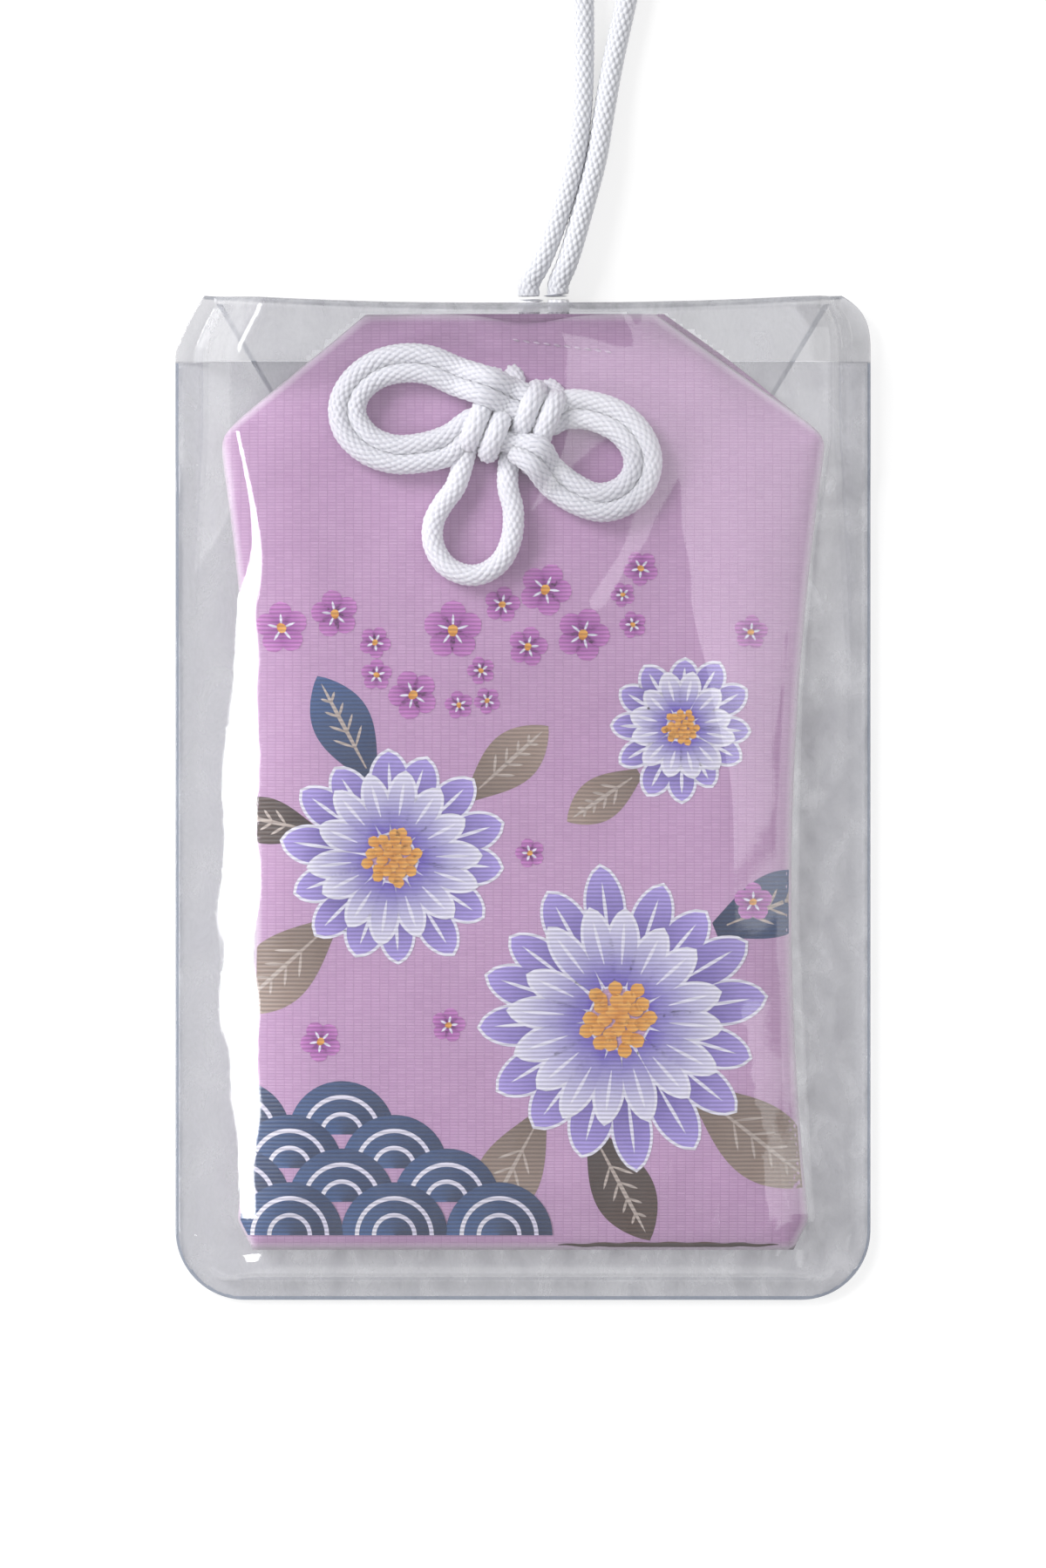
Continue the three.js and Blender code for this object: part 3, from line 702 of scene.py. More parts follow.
@dataclass
class Cords:
    """The tied bow on the pouch and the loop that leaves the sleeve."""

    finish: BraidedNylon = BraidedNylon()
    # The wrap's copy of the one cord is painted lighter, to lift the shade that falls in the knot.
    wrap_painted_light_finish: BraidedNylon = BraidedNylon("nylon_cord_braided_painted_light", "f1f1f5", "d2d4dc")
    # The hanging loop's copy of the one cord is painted darker, toning down the key lamp's light on the bare
    # loop.
    outer_painted_shade_finish: BraidedNylon = BraidedNylon("nylon_cord_braided_painted_shade", "d4d5da", "a4a6b1")
    braid: Braid = Braid()
    strand: float = 2.07
    level: float = 1.1
    high: float = 2.75
    eyelet: float = 5.67
    slit_level: float = 1.75
    slit_half: float = 1.26
    slit_up: float = 1.3
    wrap_inner: float = 0.93
    wrap_outer: float = 2.8
    waist_half: float = 3.0
    waist_middle: float = 1.1
    waist_lift: float = 0.2

    # Points across and along, seen from the knot
    RIGHT_OUTER = (
        (3.2, -5.6), (5.4, -7.1), (7.8, -7.75), (10.0, -7.05), (11.5, -5.35), (11.95, -3.2), (11.15, -1.0),
        (9.35, 0.75), (6.9, 1.65), (4.7, 1.8),
    )
    LEFT_OUTER = (
        (-4.6, 4.6), (-7.1, 5.6), (-9.6, 5.75), (-12.0, 5.05), (-13.95, 3.45), (-14.9, 1.4), (-14.5, -0.9),
        (-12.65, -2.75), (-10.2, -3.6), (-7.4, -3.45), (-5.3, -2.85),
    )
    RIGHT_INNER = (
        (3.5, -3.9), (5.4, -5.4), (7.3, -6.2), (9.15, -5.75), (10.25, -4.5), (10.35, -2.9), (9.15, -1.1),
        (6.8, 0.08), (4.6, 0.2),
    )
    LEFT_INNER = (
        (-4.9, 3.05), (-7.2, 4.05), (-9.55, 4.2), (-11.65, 3.6), (-13.15, 2.2), (-13.45, 0.6), (-12.3, -1.15),
        (-10.2, -2.05), (-7.8, -1.9), (-5.6, -1.2),
    )
    LOWER_LOOP = (
        (-0.4, -5.6), (0.05, -7.6), (-0.1, -10.1), (-1.0, -12.0), (-2.6, -13.1), (-4.2, -13.15),
        (-5.8, -12.3), (-6.8, -10.5), (-6.75, -8.6), (-5.9, -7.0), (-4.9, -5.6),
    )
    # Places along the wrap and heights of one turn over the ears
    ARCH = ((3.3, 1.0), (2.9, 2.1), (1.8, 2.75), (0.5, 2.3), (-0.5, 1.5), (-1.7, 1.0), (-2.9, 0.7))
    # Points of the hanging loop, seen from the pouch's mouth on the table
    HANGING = (
        (0.52, 1.6, 1.75), (0.52, 2.6, 1.75), (1.55, 4.6, 1.95), (3.3, 9.2, 1.7), (4.5, 13.6, 1.45),
        (5.02, 17.4, 1.2), (5.2, 21.5, 0.92), (5.2, 27, 0.92), (5.0, 33, 0.92), (4.9, 39, 0.92),
        (5.1, 45, 0.92), (6.0, 51, 0.92), (8.0, 55.4, 0.92), (11.4, 56.4, 0.92), (13.6, 53.2, 0.92),
        (13.9, 48, 0.92), (12.8, 42, 0.92), (11.2, 35.4, 0.92), (9.6, 30, 0.92), (8.45, 25, 0.92),
        (7.7, 21.5, 0.92), (6.98, 17.4, 1.2), (6.35, 13.6, 1.45), (5.2, 9.2, 1.7), (3.85, 4.6, 1.95),
        (3.04, 2.6, 1.75), (3.04, 1.6, 1.75),
    )

    def in_knot(self, u: float, v: float, w: float) -> Point:
        """A place in the knot's tilted frame, seen from the knot's centre.

        Args:
            u: Across the knot.
            v: Along the wrap, upwards.
            w: Height above the pouch.

        Returns:
            The place from the knot's centre.
        """
        c, s = math.cos(KNOT_TILT), math.sin(KNOT_TILT)
        return u * c - v * s, u * s + v * c, w

    def flat(self, points: Sequence[tuple[float, float]]) -> list[Point]:
        """Points at the height of cord that lies on the pouch."""
        return [(x, y, self.level) for x, y in points]

    def waist(self, v_right: float, v_left: float, high_side: int) -> list[Point]:
        """Points from right to left through the knot, over the wrap on one side and under it on the other.

        Args:
            v_right: Place along the wrap on the right.
            v_left: Place along the wrap on the left.
            high_side: 1 where the strand is over the wrap on the right, -1 on the left.

        Returns:
            Points from the knot's centre.
        """
        path = []
        middle = (self.high + self.level) / 2
        for u in (self.waist_half, self.waist_middle, -self.waist_middle, -self.waist_half):
            end = self.high if u * high_side > 0 else self.level + self.waist_lift
            v = v_left + (v_right - v_left) * (u + self.waist_half) / (2 * self.waist_half)
            path.append(self.in_knot(u, v, end if abs(u) == self.waist_half else middle))
        return path

    def ears_points(self) -> list[Point]:
        """Points of the cord that is wound twice into both ears.

        Returns:
            Points from the knot's centre.
        """
        upper, lower = -1, 1
        return [
            *self.waist(-2.9, -1.2, lower)[:2][::-1],
            *self.flat(self.RIGHT_OUTER),
            *self.waist(2.5, 2.7, upper),
            *self.flat(self.LEFT_OUTER),
            *self.waist(-1.2, -2.6, lower)[::-1],
            *self.flat(self.RIGHT_INNER),
            *self.waist(0.8, 1.1, upper),
            *self.flat(self.LEFT_INNER),
            *self.waist(-2.9, -0.9, lower)[2:][::-1],
        ]

    def riser(self, side: int) -> list[Point]:
        """Points of one strand from the slit to the eyelet behind the knot.

        Args:
            side: -1 for the left strand, 1 for the right one.

        Returns:
            Points from the knot's centre.
        """
        x = POUCH.slit_shift - KNOT[0] + side * self.slit_half
        y = POUCH.top - KNOT[1] + self.slit_up
        low = self.slit_level - KNOT[2]
        hole = self.in_knot(side * self.strand / 2, self.eyelet, 0)
        return [
            (x, y, low),
            (x, y - 1.5, low),
            (x - 0.5, y - 3.4, low),
            (hole[0] + 0.2 + 0.06 * side, hole[1] + 0.9, low + 0.2),
            (hole[0], hole[1] - 0.8, low + 0.4),
            self.in_knot(side * 1.6, 4.2, -1.0),
        ]

    def turns(self, first: float, second: float) -> list[Point]:
        """Points of two turns over the ears, with the hidden way back under the ears between them.

        Args:
            first: Place of the first turn across the knot.
            second: Place of the second turn.

        Returns:
            Points from the knot's centre.
        """
        arch = self.ARCH if first > 0 else [(-v, w) for v, w in self.ARCH[::-1]]
        under = ((first, -2.6, -0.3), ((first + second) / 2, 0, -0.6), (second, 2.6, -0.4))
        return [
            *(self.in_knot(first, v, w) for v, w in arch),
            *(self.in_knot(*place) for place in under),
            *(self.in_knot(second, v, w) for v, w in arch),
        ]

    def wrap_points(self) -> list[Point]:
        """Points of the cord that comes out of the eyelet, wraps the ears and makes the lower loop.

        Returns:
            Points from the knot's centre.
        """
        right = [*self.riser(1), *self.turns(self.wrap_outer, self.wrap_inner)]
        left = [*self.riser(-1), *self.turns(-self.wrap_inner, -self.wrap_outer)]
        return [*right, *self.flat(self.LOWER_LOOP), *left[::-1]]

    def build(self) -> None:
        """Makes the three cords."""
        cords = {}
        # The wrap and the hanging loop take painted lighter and darker copies of the one cord's finish.
        for node, points, start, finish in (
            ("bow_ears", self.ears_points(), KNOT, self.finish),
            ("bow_wrap", self.wrap_points(), KNOT, self.wrap_painted_light_finish),
            ("hanging_loop", self.HANGING, (0, POUCH.top, 0), self.outer_painted_shade_finish),
        ):
            line = catmull_rom(points, self.braid.step) + np.array(start)
            piece = self.braid.lay(node + "_cord", line)
            piece.data.materials.append(finish.material())
            settle(piece, Body.POUCH, Slot.CORD, node)
            cords[node] = piece, line
        loop, line = cords["hanging_loop"]


# Pouch


@dataclass(frozen=True)
class SatinBrocade:
    """Jacquard satin ground: short floats in slanting rows, a silky sheen, uneven dye, and a painted
    highlight along the folded edge.
    """

    name: str = "polyester_brocade_satin_ground"
    deep: str = "a87fa8"
    pale: str = "c9a3c6"
    # Near-white colour of the painted highlight where the folded edge catches the light.
    fold: str = "f6e8f4"

    def material(self) -> bpy.types.Material:
        """Makes the ground cloth.

        Returns:
            A lilac weave whose floats are 0.75 mm long and 0.26 mm wide.
        """
        material, tree = new_material(self.name)
        place = own_place(tree)
        weave = {"Scale": 1 / MM, "Brick Width": 0.75, "Row Height": 0.26}
        gaps = {"Mortar Size": 0.05, "Mortar Smooth": 1.0}
        tones = {"Color1": (1, 1, 1, 1), "Color2": (0.72, 0.72, 0.72, 1), "Mortar": (0.2, 0.2, 0.2, 1)}
        inputs = {"Vector": place, **weave, **gaps, **tones}
        floats = add_node(tree, "TexBrick", inputs, offset=0.38, offset_frequency=1).outputs["Color"]
        dye = noise(tree, place, 0.055, 4, 0.6)
        slub = noise(tree, place, 1.5, 2, 0.5)
        lilac = fade(tree, mix_levels(tree, 0.45, floats, dye), (0.18, self.deep), (0.82, self.pale))
        # Painted highlight: the cloth pales towards near white at the folded edge.
        painted_edge_highlight = span(tree, attribute(tree, "fold"), 0.0, 0.9, 0.2)
        surface(tree, {
            "Base Color": mix_colours(tree, painted_edge_highlight, lilac, linear(self.fold)),
            "Roughness": span(tree, slub, 0.42, 0.62),
            "Normal": bump(tree, slub, 0.25, 0.06, bump(tree, floats, 0.5, 0.06)),
            "Sheen Weight": 0.25,
            "Sheen Roughness": 0.4,
            "Specular IOR Level": 0.35,
        })
        return material


@dataclass(frozen=True)
class WeftFigure:
    """Figure weft of the brocade: level floats in one colour that fades into another along the figure."""

    name: str
    near: str
    far: str
    pitch: float = 0.36

    def material(self) -> bpy.types.Material:
        """Makes the figure's silk.

        Returns:
            Level silky floats with fine dark lines between them.
        """
        material, tree = new_material(self.name)
        place = own_place(tree)
        lines = {"Vector": place, "Scale": math.pi / (10 * self.pitch * MM), "Distortion": 1.2}
        drift = {"Detail": 1.0, "Detail Scale": 0.35}
        floats = add_node(tree, "TexWave", {**lines, **drift}, bands_direction="Y").outputs["Fac"]
        uneven = noise(tree, place, 0.7, 3, 0.6)
        level = mix_levels(tree, 0.22, attribute(tree, "shade"), uneven)
        tone = fade(tree, level, (0.12, self.near), (0.88, self.far))
        surface(tree, {
            "Base Color": mix_colours(tree, 1.0, tone, span(tree, floats, 0.68, 1.06), "MULTIPLY"),
            "Roughness": 0.45,
            "Normal": bump(tree, floats, 0.6, 0.08),
            "Sheen Weight": 0.2,
            "Specular IOR Level": 0.4,
        })
        return material


@dataclass
class SettledCloth:
    """How the front cloth settles: a sheet held at its seams and the knot, swollen by the pouch's filling."""

    columns: int = 44
    rows: int = 68
    frames: int = 20
    pressure: float = 0.3
    growth: float = 0.012
    enlarge: float = 10.0
    held_round: float = 3.0
    seam_share: float = 0.004
    smoothing: int = 40
    cap: float = 0.1

    def __post_init__(self) -> None:
        """Starts with a flat rest; the sheet is simulated when the pouch is built."""
        self.heights = np.zeros((self.rows + 1, self.columns + 1))

    def share(self, x: Array, y: Array) -> tuple[Array, Array]:
        """Where places lie on the sheet.

        Args:
            x: Places across.
            y: Places along.

        Returns:
            Shares from 0 to 1 across and along.
        """
        left, right = POUCH.sides(y)
        across = (x - left) / np.maximum(right - left, 0.1)
        return np.clip(across, 0, 1), np.clip((y - POUCH.foot) / (POUCH.top - POUCH.foot), 0, 1)

    def at(self, x: Array, y: Array) -> Array:
        """How far the settled cloth stands from its flat form.

        Args:
            x: Places across.
            y: Places along.

        Returns:
            Heights in millimetres, between the sheet's points drawn straight.
        """
        across, along = self.share(x, y)
        column, row = across * self.columns, along * self.rows
        c = np.minimum(column.astype(int), self.columns - 1)
        r = np.minimum(row.astype(int), self.rows - 1)
        s, t = column - c, row - r
        low = self.heights[r, c] * (1 - s) + self.heights[r, c + 1] * s
        high = self.heights[r + 1, c] * (1 - s) + self.heights[r + 1, c + 1] * s
        return low * (1 - t) + high * t

    def flat(self, u: Array, v: Array) -> Array:
        """Places of the sheet before it swells, enlarged.

        Args:
            u: Points across from 0 to 1.
            v: Points along from 0 to 1.

        Returns:
            Places in enlarged millimetres.
        """
        y = POUCH.foot + (POUCH.top - POUCH.foot) * v
        left, right = POUCH.sides(y)
        x = left + (right - left) * u
        return np.stack([x, y, POUCH.front(x, y)], axis=1) * self.enlarge

    def swell(self, sheet: bpy.types.Object, held: Array) -> Array:
        """Runs the cloth.

        Args:
            sheet: The enlarged sheet.
            held: Which of its points are held.

        Returns:
            Heights of its points at the end, in millimetres.
        """
        seams = sheet.vertex_groups.new(name="seams")
        seams.add(np.flatnonzero(held).tolist(), 1.0, "REPLACE")
        cloth = sheet.modifiers.new("cloth", "CLOTH")
        cloth.settings.vertex_group_mass = seams.name
        cloth.settings.use_pressure = True
        cloth.settings.uniform_pressure_force = self.pressure
        cloth.settings.shrink_min = -self.growth
        cloth.settings.effector_weights.gravity = 0
        cloth.point_cache.frame_end = self.frames
        for number in range(1, self.frames + 1):
            bpy.context.scene.frame_set(number)
        swollen = sheet.evaluated_get(bpy.context.evaluated_depsgraph_get()).data
        return np.array([v.co.z for v in swollen.vertices]) / (MM * self.enlarge)

    def simulate(self) -> None:
        """Runs the cloth on an enlarged sheet and keeps its wrinkles.

        The card behind and the film in front hold the bulge flat, so only what stands out from it stays.
        """
        sheet = grid_piece("cloth_sheet", self.columns, self.rows, self.flat)
        before = np.array([v.co for v in sheet.data.vertices]) / (MM * self.enlarge)
        x, y = before[:, 0], before[:, 1]
        across, along = self.share(x, y)
        held = np.minimum(np.minimum(across, 1 - across), np.minimum(along, 1 - along)) < self.seam_share
        for place in (EYELET, KNOT):
            held |= np.hypot(x - place[0], y - place[1]) < self.held_round
        after = self.swell(sheet, held)
        rise = np.zeros_like(self.heights)
        row, column = np.rint(along * self.rows).astype(int), np.rint(across * self.columns).astype(int)
        rise[row, column] = after - before[:, 2]
        bulge = rise.copy()
        for _ in range(self.smoothing):
            beside = bulge[1:-1, :-2] + bulge[1:-1, 2:]
            bulge[1:-1, 1:-1] = (beside + bulge[:-2, 1:-1] + bulge[2:, 1:-1]) / 4
        self.heights = self.cap * np.tanh((rise - bulge) / (4 * self.cap))
        log.info("front cloth settled by %.2f to %.2f mm", self.heights.min(), self.heights.max())
        bpy.context.scene.frame_set(1)
        mesh = sheet.data
        bpy.data.objects.remove(sheet)
        bpy.data.meshes.remove(mesh)


SETTLED = SettledCloth()


@dataclass
class PouchCloth:
    """The pouch's two brocade panels and the stitches of its mouth."""

    ground: SatinBrocade = SatinBrocade()
    thread: WeftFigure = WeftFigure("sewing_thread_polyester", "d8bfd8", "e6d6e6")
    columns: int = 110
    rows: int = 170
    # Width of the painted highlight along the folded edge, in millimetres.
    fold: float = 0.9
    hem: float = 0.05
    gape_at: float = 0.4
    gape_half: float = 3.6
    gape_drop: float = 0.8
    gape_drop_run: float = 6.0
    gape_lift: float = 0.25
    gape_lift_run: float = 2.5
    spread: float = 0.75
    spread_end: float = 3.0
    stitch_count: int = 10
    stitch: Point = (0.62, 0.22, 0.16)
    stitch_start: tuple[float, float] = (-0.6, 39.7)
    stitch_step: tuple[float, float] = (0.88, -0.11)
    stitch_turn: float = -0.3
    stitch_raise: float = 0.06

    BACK_PUCKERS = Waves(0.02, 9, 6)

    def front_face(self, u: Array, v: Array) -> Array:
        """Places of the front panel's face, its mouth sagging open in the middle.

        Args:
            u: Points across from 0 to 1.
            v: Points along from 0 to 1.

        Returns:
            Places in millimetres.
        """
        y = POUCH.foot + (POUCH.top - self.hem - POUCH.foot) * v
        left, right = POUCH.sides(y)
        x = left + (right - left) * u
        gape = np.exp(-(((x - self.gape_at) / self.gape_half) ** 2))
        z = POUCH.cloth_front(x, y)
        y = y - self.gape_drop * gape * ease(POUCH.top - self.gape_drop_run, POUCH.top, y)
        z = z + self.gape_lift * gape * ease(POUCH.top - self.gape_lift_run, POUCH.top, y)
        return np.stack([x, y, z], axis=1)

    def back_face(self, u: Array, v: Array) -> Array:
        """Places of the back panel's face, a little wider at the right shoulder.

        Args:
            u: Points across from 0 to 1.
            v: Points along from 0 to 1.

        Returns:
            Places in millimetres.
        """
        y = POUCH.foot + (POUCH.top - POUCH.foot) * v
        left, right = POUCH.sides(y)
        spread = self.spread * ease(POUCH.top - POUCH.shoulder_drop, POUCH.top - self.spread_end, y)
        x = right + spread - (right + spread - left) * u
        return np.stack([x, y, POUCH.back(x, y) + self.BACK_PUCKERS.at(x, y)], axis=1)

    def mark_fold(self, panel: bpy.types.Object) -> None:
        """Marks the panel's folded edge, where a painted highlight makes the cloth paler.

        Args:
            panel: The panel.
        """
        places = np.array([v.co for v in panel.data.vertices]) / MM
        near = 1 - np.clip(POUCH.edge_distance(places[:, 0], places[:, 1]) / self.fold, 0, 1)
        mark(panel.data, "fold", near)

    def stitches(self) -> bpy.types.Object:
        """Makes the short row of hem stitches under the mouth.

        Returns:
            The stitches as one piece.
        """
        row = bmesh.new()
        for number in range(self.stitch_count):
            x, y = (start + step * number for start, step in zip(self.stitch_start, self.stitch_step))
            ball = bmesh.ops.create_uvsphere(row, u_segments=10, v_segments=6, radius=0.5 * MM)["verts"]
            bmesh.ops.scale(row, verts=ball, vec=self.stitch)
            bmesh.ops.rotate(row, verts=ball, matrix=Euler((0, 0, self.stitch_turn)).to_matrix())
            z = float(POUCH.front(np.array([x]), np.array([y]))[0]) + self.stitch_raise
            bmesh.ops.translate(row, verts=ball, vec=Vector((x, y, z)) * MM)
        return from_shape("mouth_hem_stitches", row, smooth=False)

    def build(self) -> None:
        """Makes the panels and the stitches."""
        SETTLED.simulate()
        ground = self.ground.material()
        front = grid_piece("pouch_front_cloth", self.columns, self.rows, self.front_face)
        back = grid_piece("pouch_back_cloth", self.columns, self.rows, self.back_face)
        self.mark_fold(front)
        for panel, node in ((front, "pouch_front_panel"), (back, "pouch_back_panel")):
            panel.data.materials.append(ground)
            thicken(panel, POUCH.cloth)
            settle(panel, Body.POUCH, Slot.BROCADE, node)
        stitches = self.stitches()
        stitches.data.materials.append(self.thread.material())
        settle(stitches, Body.POUCH)


class Silk(Enum):
    """Figure silks of the brocade, by the colours that they fade between."""

    VIOLET = ("violet_to_lavender", "43258f", "b7a6ea")
    LAVENDER = ("lavender_to_white", "6a55bd", "ece9f8")
    LINE = ("white_outline", "e4e0f4", "f2f0fa")
    ORANGE = ("orange_heart", "d98a1e", "f6b755")
    NAVY = ("navy_wave", "1f3157", "3f5f92")
    TAUPE = ("taupe_leaf", "7d6a5e", "b09a8c")
    BROWN = ("brown_leaf", "3a2a26", "5d473d")
    VEIN = ("pale_vein", "b7a79c", "cdbfb5")
    MAGENTA = ("magenta_plum", "9b459e", "cf86cb")


def petal(
    centre: Sequence[float], angle: float, start: float, end: float, width: float, blunt: float = 0.62
) -> Outline:
    """Outline of a petal that points away from a centre.

    Args:
        centre: The centre.
        angle: Direction of the petal.
        start: Where the petal begins, from the centre.
        end: Where its tip is.
        width: Its greatest width.
        blunt: Below 1 the tip is rounder.

    Returns:
        A function from grid points to places across and along.
    """

    root, swing = 0.12, 1.35

    def shape(u: Array, v: Array) -> tuple[Array, Array]:
        """Finds places on the petal, which is widest beyond its middle.

        Args:
            u: Points across from 0 to 1.
            v: Points along from 0 to 1.

        Returns:
            Places across and along.
        """
        along = start + (end - start) * v
        full = np.sin(np.pi * np.clip(root + (1 - root) * v, 0, 1) ** swing)
        side = (u - 0.5) * width * np.power(full, blunt)
        x = centre[0] + along * math.cos(angle) - side * math.sin(angle)
        return x, centre[1] + along * math.sin(angle) + side * math.cos(angle)

    return shape


def arch(centre: Sequence[float], radius: float, width: float) -> Outline:
    """Outline of the upper half of a ring.

    Args:
        centre: The ring's centre.
        radius: Its outer radius.
        width: Its breadth.

    Returns:
        A function from grid points to places across and along.
    """

    def shape(u: Array, v: Array) -> tuple[Array, Array]:
        """Places on the ring."""
        away = radius - width * u
        return centre[0] + away * np.cos(math.pi * v), centre[1] + away * np.sin(math.pi * v)

    return shape


def foot_line(u: Array, v: Array) -> tuple[Array, Array]:
    """Outline of the dark line that is woven along the foot's fold on the right.

    Args:
        u: Points across from 0 to 1.
        v: Points along from 0 to 1.

    Returns:
        Places across and along.
    """
    x = 3.0 + 19.0 * u
    half = 0.24 * np.sqrt(np.sin(np.pi * np.clip(u, 0.004, 0.996)))
    return x, POUCH.foot + 0.44 + 0.05 * np.sin(2.1 * x) + (2 * v - 1) * half


@dataclass
class WovenFigures:
    """Woven figures on the front: chrysanthemum rosettes, leaves, waves and plum blossoms."""

    raise_by: float = 0.011
    edge: float = 0.25
    wave_radius: float = 4.6
    wave_rows: int = 4
    wave_drop: float = 2.9
    wave_closeness: float = 0.98
    heart_knots: int = 26
    drift_tries: int = 500
    drift_seed: int = 12
    drift_level: float = 13.6
    drift_sway: float = 2.2

    # Silk, root, direction in degrees and length of each leaf
    LEAVES = (
        (Silk.TAUPE, (15.0, -25.0), -38, 13.0),
        (Silk.BROWN, (6.0, -28.5), -62, 10.5),
        (Silk.TAUPE, (1.5, -27.0), -118, 11.0),
        (Silk.NAVY, (16.5, -11.0), 22, 11.0),
        (Silk.TAUPE, (-16.5, -10.5), 222, 11.5),
        (Silk.NAVY, (-13.0, 2.0), 118, 10.0),
        (Silk.BROWN, (-18.0, -2.5), 168, 8.0),
        (Silk.TAUPE, (-4.5, 0.5), 42, 9.0),
        (Silk.TAUPE, (10.0, 2.5), 214, 7.5),
    )
    # Centre, radius, petals in a row and turn of each rosette
    ROSETTES = (((8.2, -18.6), 12.4, 16, 0.1), ((-11.2, -4.8), 9.6, 14, 0.3), ((13.6, 6.4), 6.0, 12, 0.0))
    # Centre, radius and turn of each blossom outside the drift
    BLOSSOMS = (
        ((19.8, -8.6), 1.7, 0.3),
        ((-17.4, -20.6), 1.8, 0.8),
        ((-6.4, -19.2), 1.5, 0.1),
        ((0.6, -4.4), 1.3, 0.6),
        ((19.6, 14.6), 1.5, 0.2),
    )
    # Centre of the first wave
    FIRST_WAVE = (-24.6, -28.6)
    # Shares of a wave's radius at which its white lines lie
    WAVE_LINES = (0.74, 0.42)
    # Rounds that the drift of blossoms keeps off
    KEPT_FREE = ((-17.4, 10.0, 2.4), (-15.5, 6.5, 2.6), (13.6, 6.4, 6.6), (-1.0, 5.0, 3.0))

    def __post_init__(self) -> None:
        """Starts an empty shape for each silk."""
        self.silks = {silk: bmesh.new() for silk in Silk}

    def patch(self, silk: Silk, shape: Outline, layer: int, columns: int = 8, rows: int = 14) -> None:
        """Adds one patch of floats that lies on the front cloth.

        Args:
            silk: The patch's silk.
            shape: Its outline.
            layer: Which layer of silk it lies in, from 1 upwards.
            columns: Faces across.
            rows: Faces along.
        """
        woven = self.silks[silk]
        shade = woven.verts.layers.float.get("shade") or woven.verts.layers.float.new("shade")
        made = bmesh.ops.create_grid(woven, x_segments=columns, y_segments=rows, size=1)["verts"]
        ends = np.array([v.co[:2] for v in made])
        x, y = shape((ends[:, 0] + 1) / 2, (ends[:, 1] + 1) / 2)
        left, right = POUCH.sides(y)
        y = np.clip(y, POUCH.foot + self.edge, POUCH.top)
        x = np.clip(x, left + self.edge, right - self.edge)
        places = np.stack([x, y, POUCH.cloth_front(x, y) + self.raise_by * layer], axis=1) * MM
        for vertex, place, along in zip(made, places, ends[:, 1]):
            vertex.co = place
            vertex[shade] = (along + 1) / 2

    def rosette(self, centre: tuple[float, float], radius: float, petals: int, turn: float) -> None:
        """Weaves a chrysanthemum of two rows of petals round an orange heart.

        Args:
            centre: Its centre.
            radius: Its outer radius.
            petals: Petals in a row.
            turn: Angle of its first petal.
        """
        rows = ((radius, 0.42, Silk.VIOLET, 3, 0.0), (0.74 * radius, 0.3, Silk.LAVENDER, 6, math.pi / petals))
        chance = np.random.default_rng(int(radius * 10))
        for full, inner, silk, layer, shift in rows:
            for number in range(petals):
                reach = full * chance.uniform(0.92, 1.06)
                width = 2 * math.pi * full * chance.uniform(0.62, 0.74) / petals
                angle = turn + shift + 2 * math.pi * (number + chance.uniform(-0.12, 0.12)) / petals
                line = petal(centre, angle, inner * reach - 0.2, reach + 0.28, width + 0.5)
                vein = petal(centre, angle, 0.5 * reach, 0.9 * reach, 0.3, 0.9)
                self.patch(Silk.LINE, line, layer)
                self.patch(silk, petal(centre, angle, inner * reach, reach, width), layer + 1)
                self.patch(Silk.LINE, vein, layer + 2, 2, 8)
        for number in range(self.heart_knots):
            away = 0.24 * radius * math.sqrt((number + 0.5) / self.heart_knots)
            angle = number * 2.4 + chance.uniform(-0.2, 0.2)
            knot = (centre[0] + away * math.cos(angle), centre[1] + away * math.sin(angle))
            heart = petal(knot, angle, -0.055 * radius, 0.055 * radius, 0.1 * radius)
            self.patch(Silk.ORANGE, heart, 9, 3, 5)

    def blossom(self, centre: tuple[float, float], radius: float, turn: float) -> None:
        """Weaves a small five-petalled plum blossom.

        Args:
            centre: Its centre.
            radius: Its radius.
            turn: Angle of its first petal.
        """
        for number in range(5):
            angle = turn + 2 * math.pi * number / 5
            fill = petal(centre, angle, 0.12 * radius, radius, 0.84 * radius, 0.5)
            thread = petal(centre, angle, 0.1 * radius, 0.55 * radius, 0.22, 0.8)
            self.patch(Silk.MAGENTA, fill, 3, 6, 9)
            self.patch(Silk.LINE, thread, 4, 2, 4)
        heart = petal(centre, turn, -0.2 * radius, 0.2 * radius, 0.34 * radius, 0.5)
        self.patch(Silk.ORANGE, heart, 5, 4, 6)

    def leaf(self, silk: Silk, root: tuple[float, float], degrees: float, length: float) -> None:
        """Weaves a pointed leaf with a midrib and side veins.

        Args:
            silk: The leaf's silk.
            root: Where the leaf begins.
            degrees: Direction in which it points.
            length: Its length.
        """
        angle = math.radians(degrees)
        midrib = petal(root, angle, 0.1 * length, 0.93 * length, 0.34, 0.6)
        self.patch(silk, petal(root, angle, 0.0, length, 0.5 * length, 0.85), 1, 14, 24)
        self.patch(Silk.VEIN, midrib, 2, 2, 16)
        for share in (0.3, 0.45, 0.6, 0.74):
            start = root[0] + share * length * math.cos(angle), root[1] + share * length * math.sin(angle)
            for side in (-1, 1):
                vein = petal(start, angle + side * 0.75, 0.0, 0.24 * length * (1.15 - share), 0.24, 0.6)
                self.patch(Silk.VEIN, vein, 2, 2, 6)

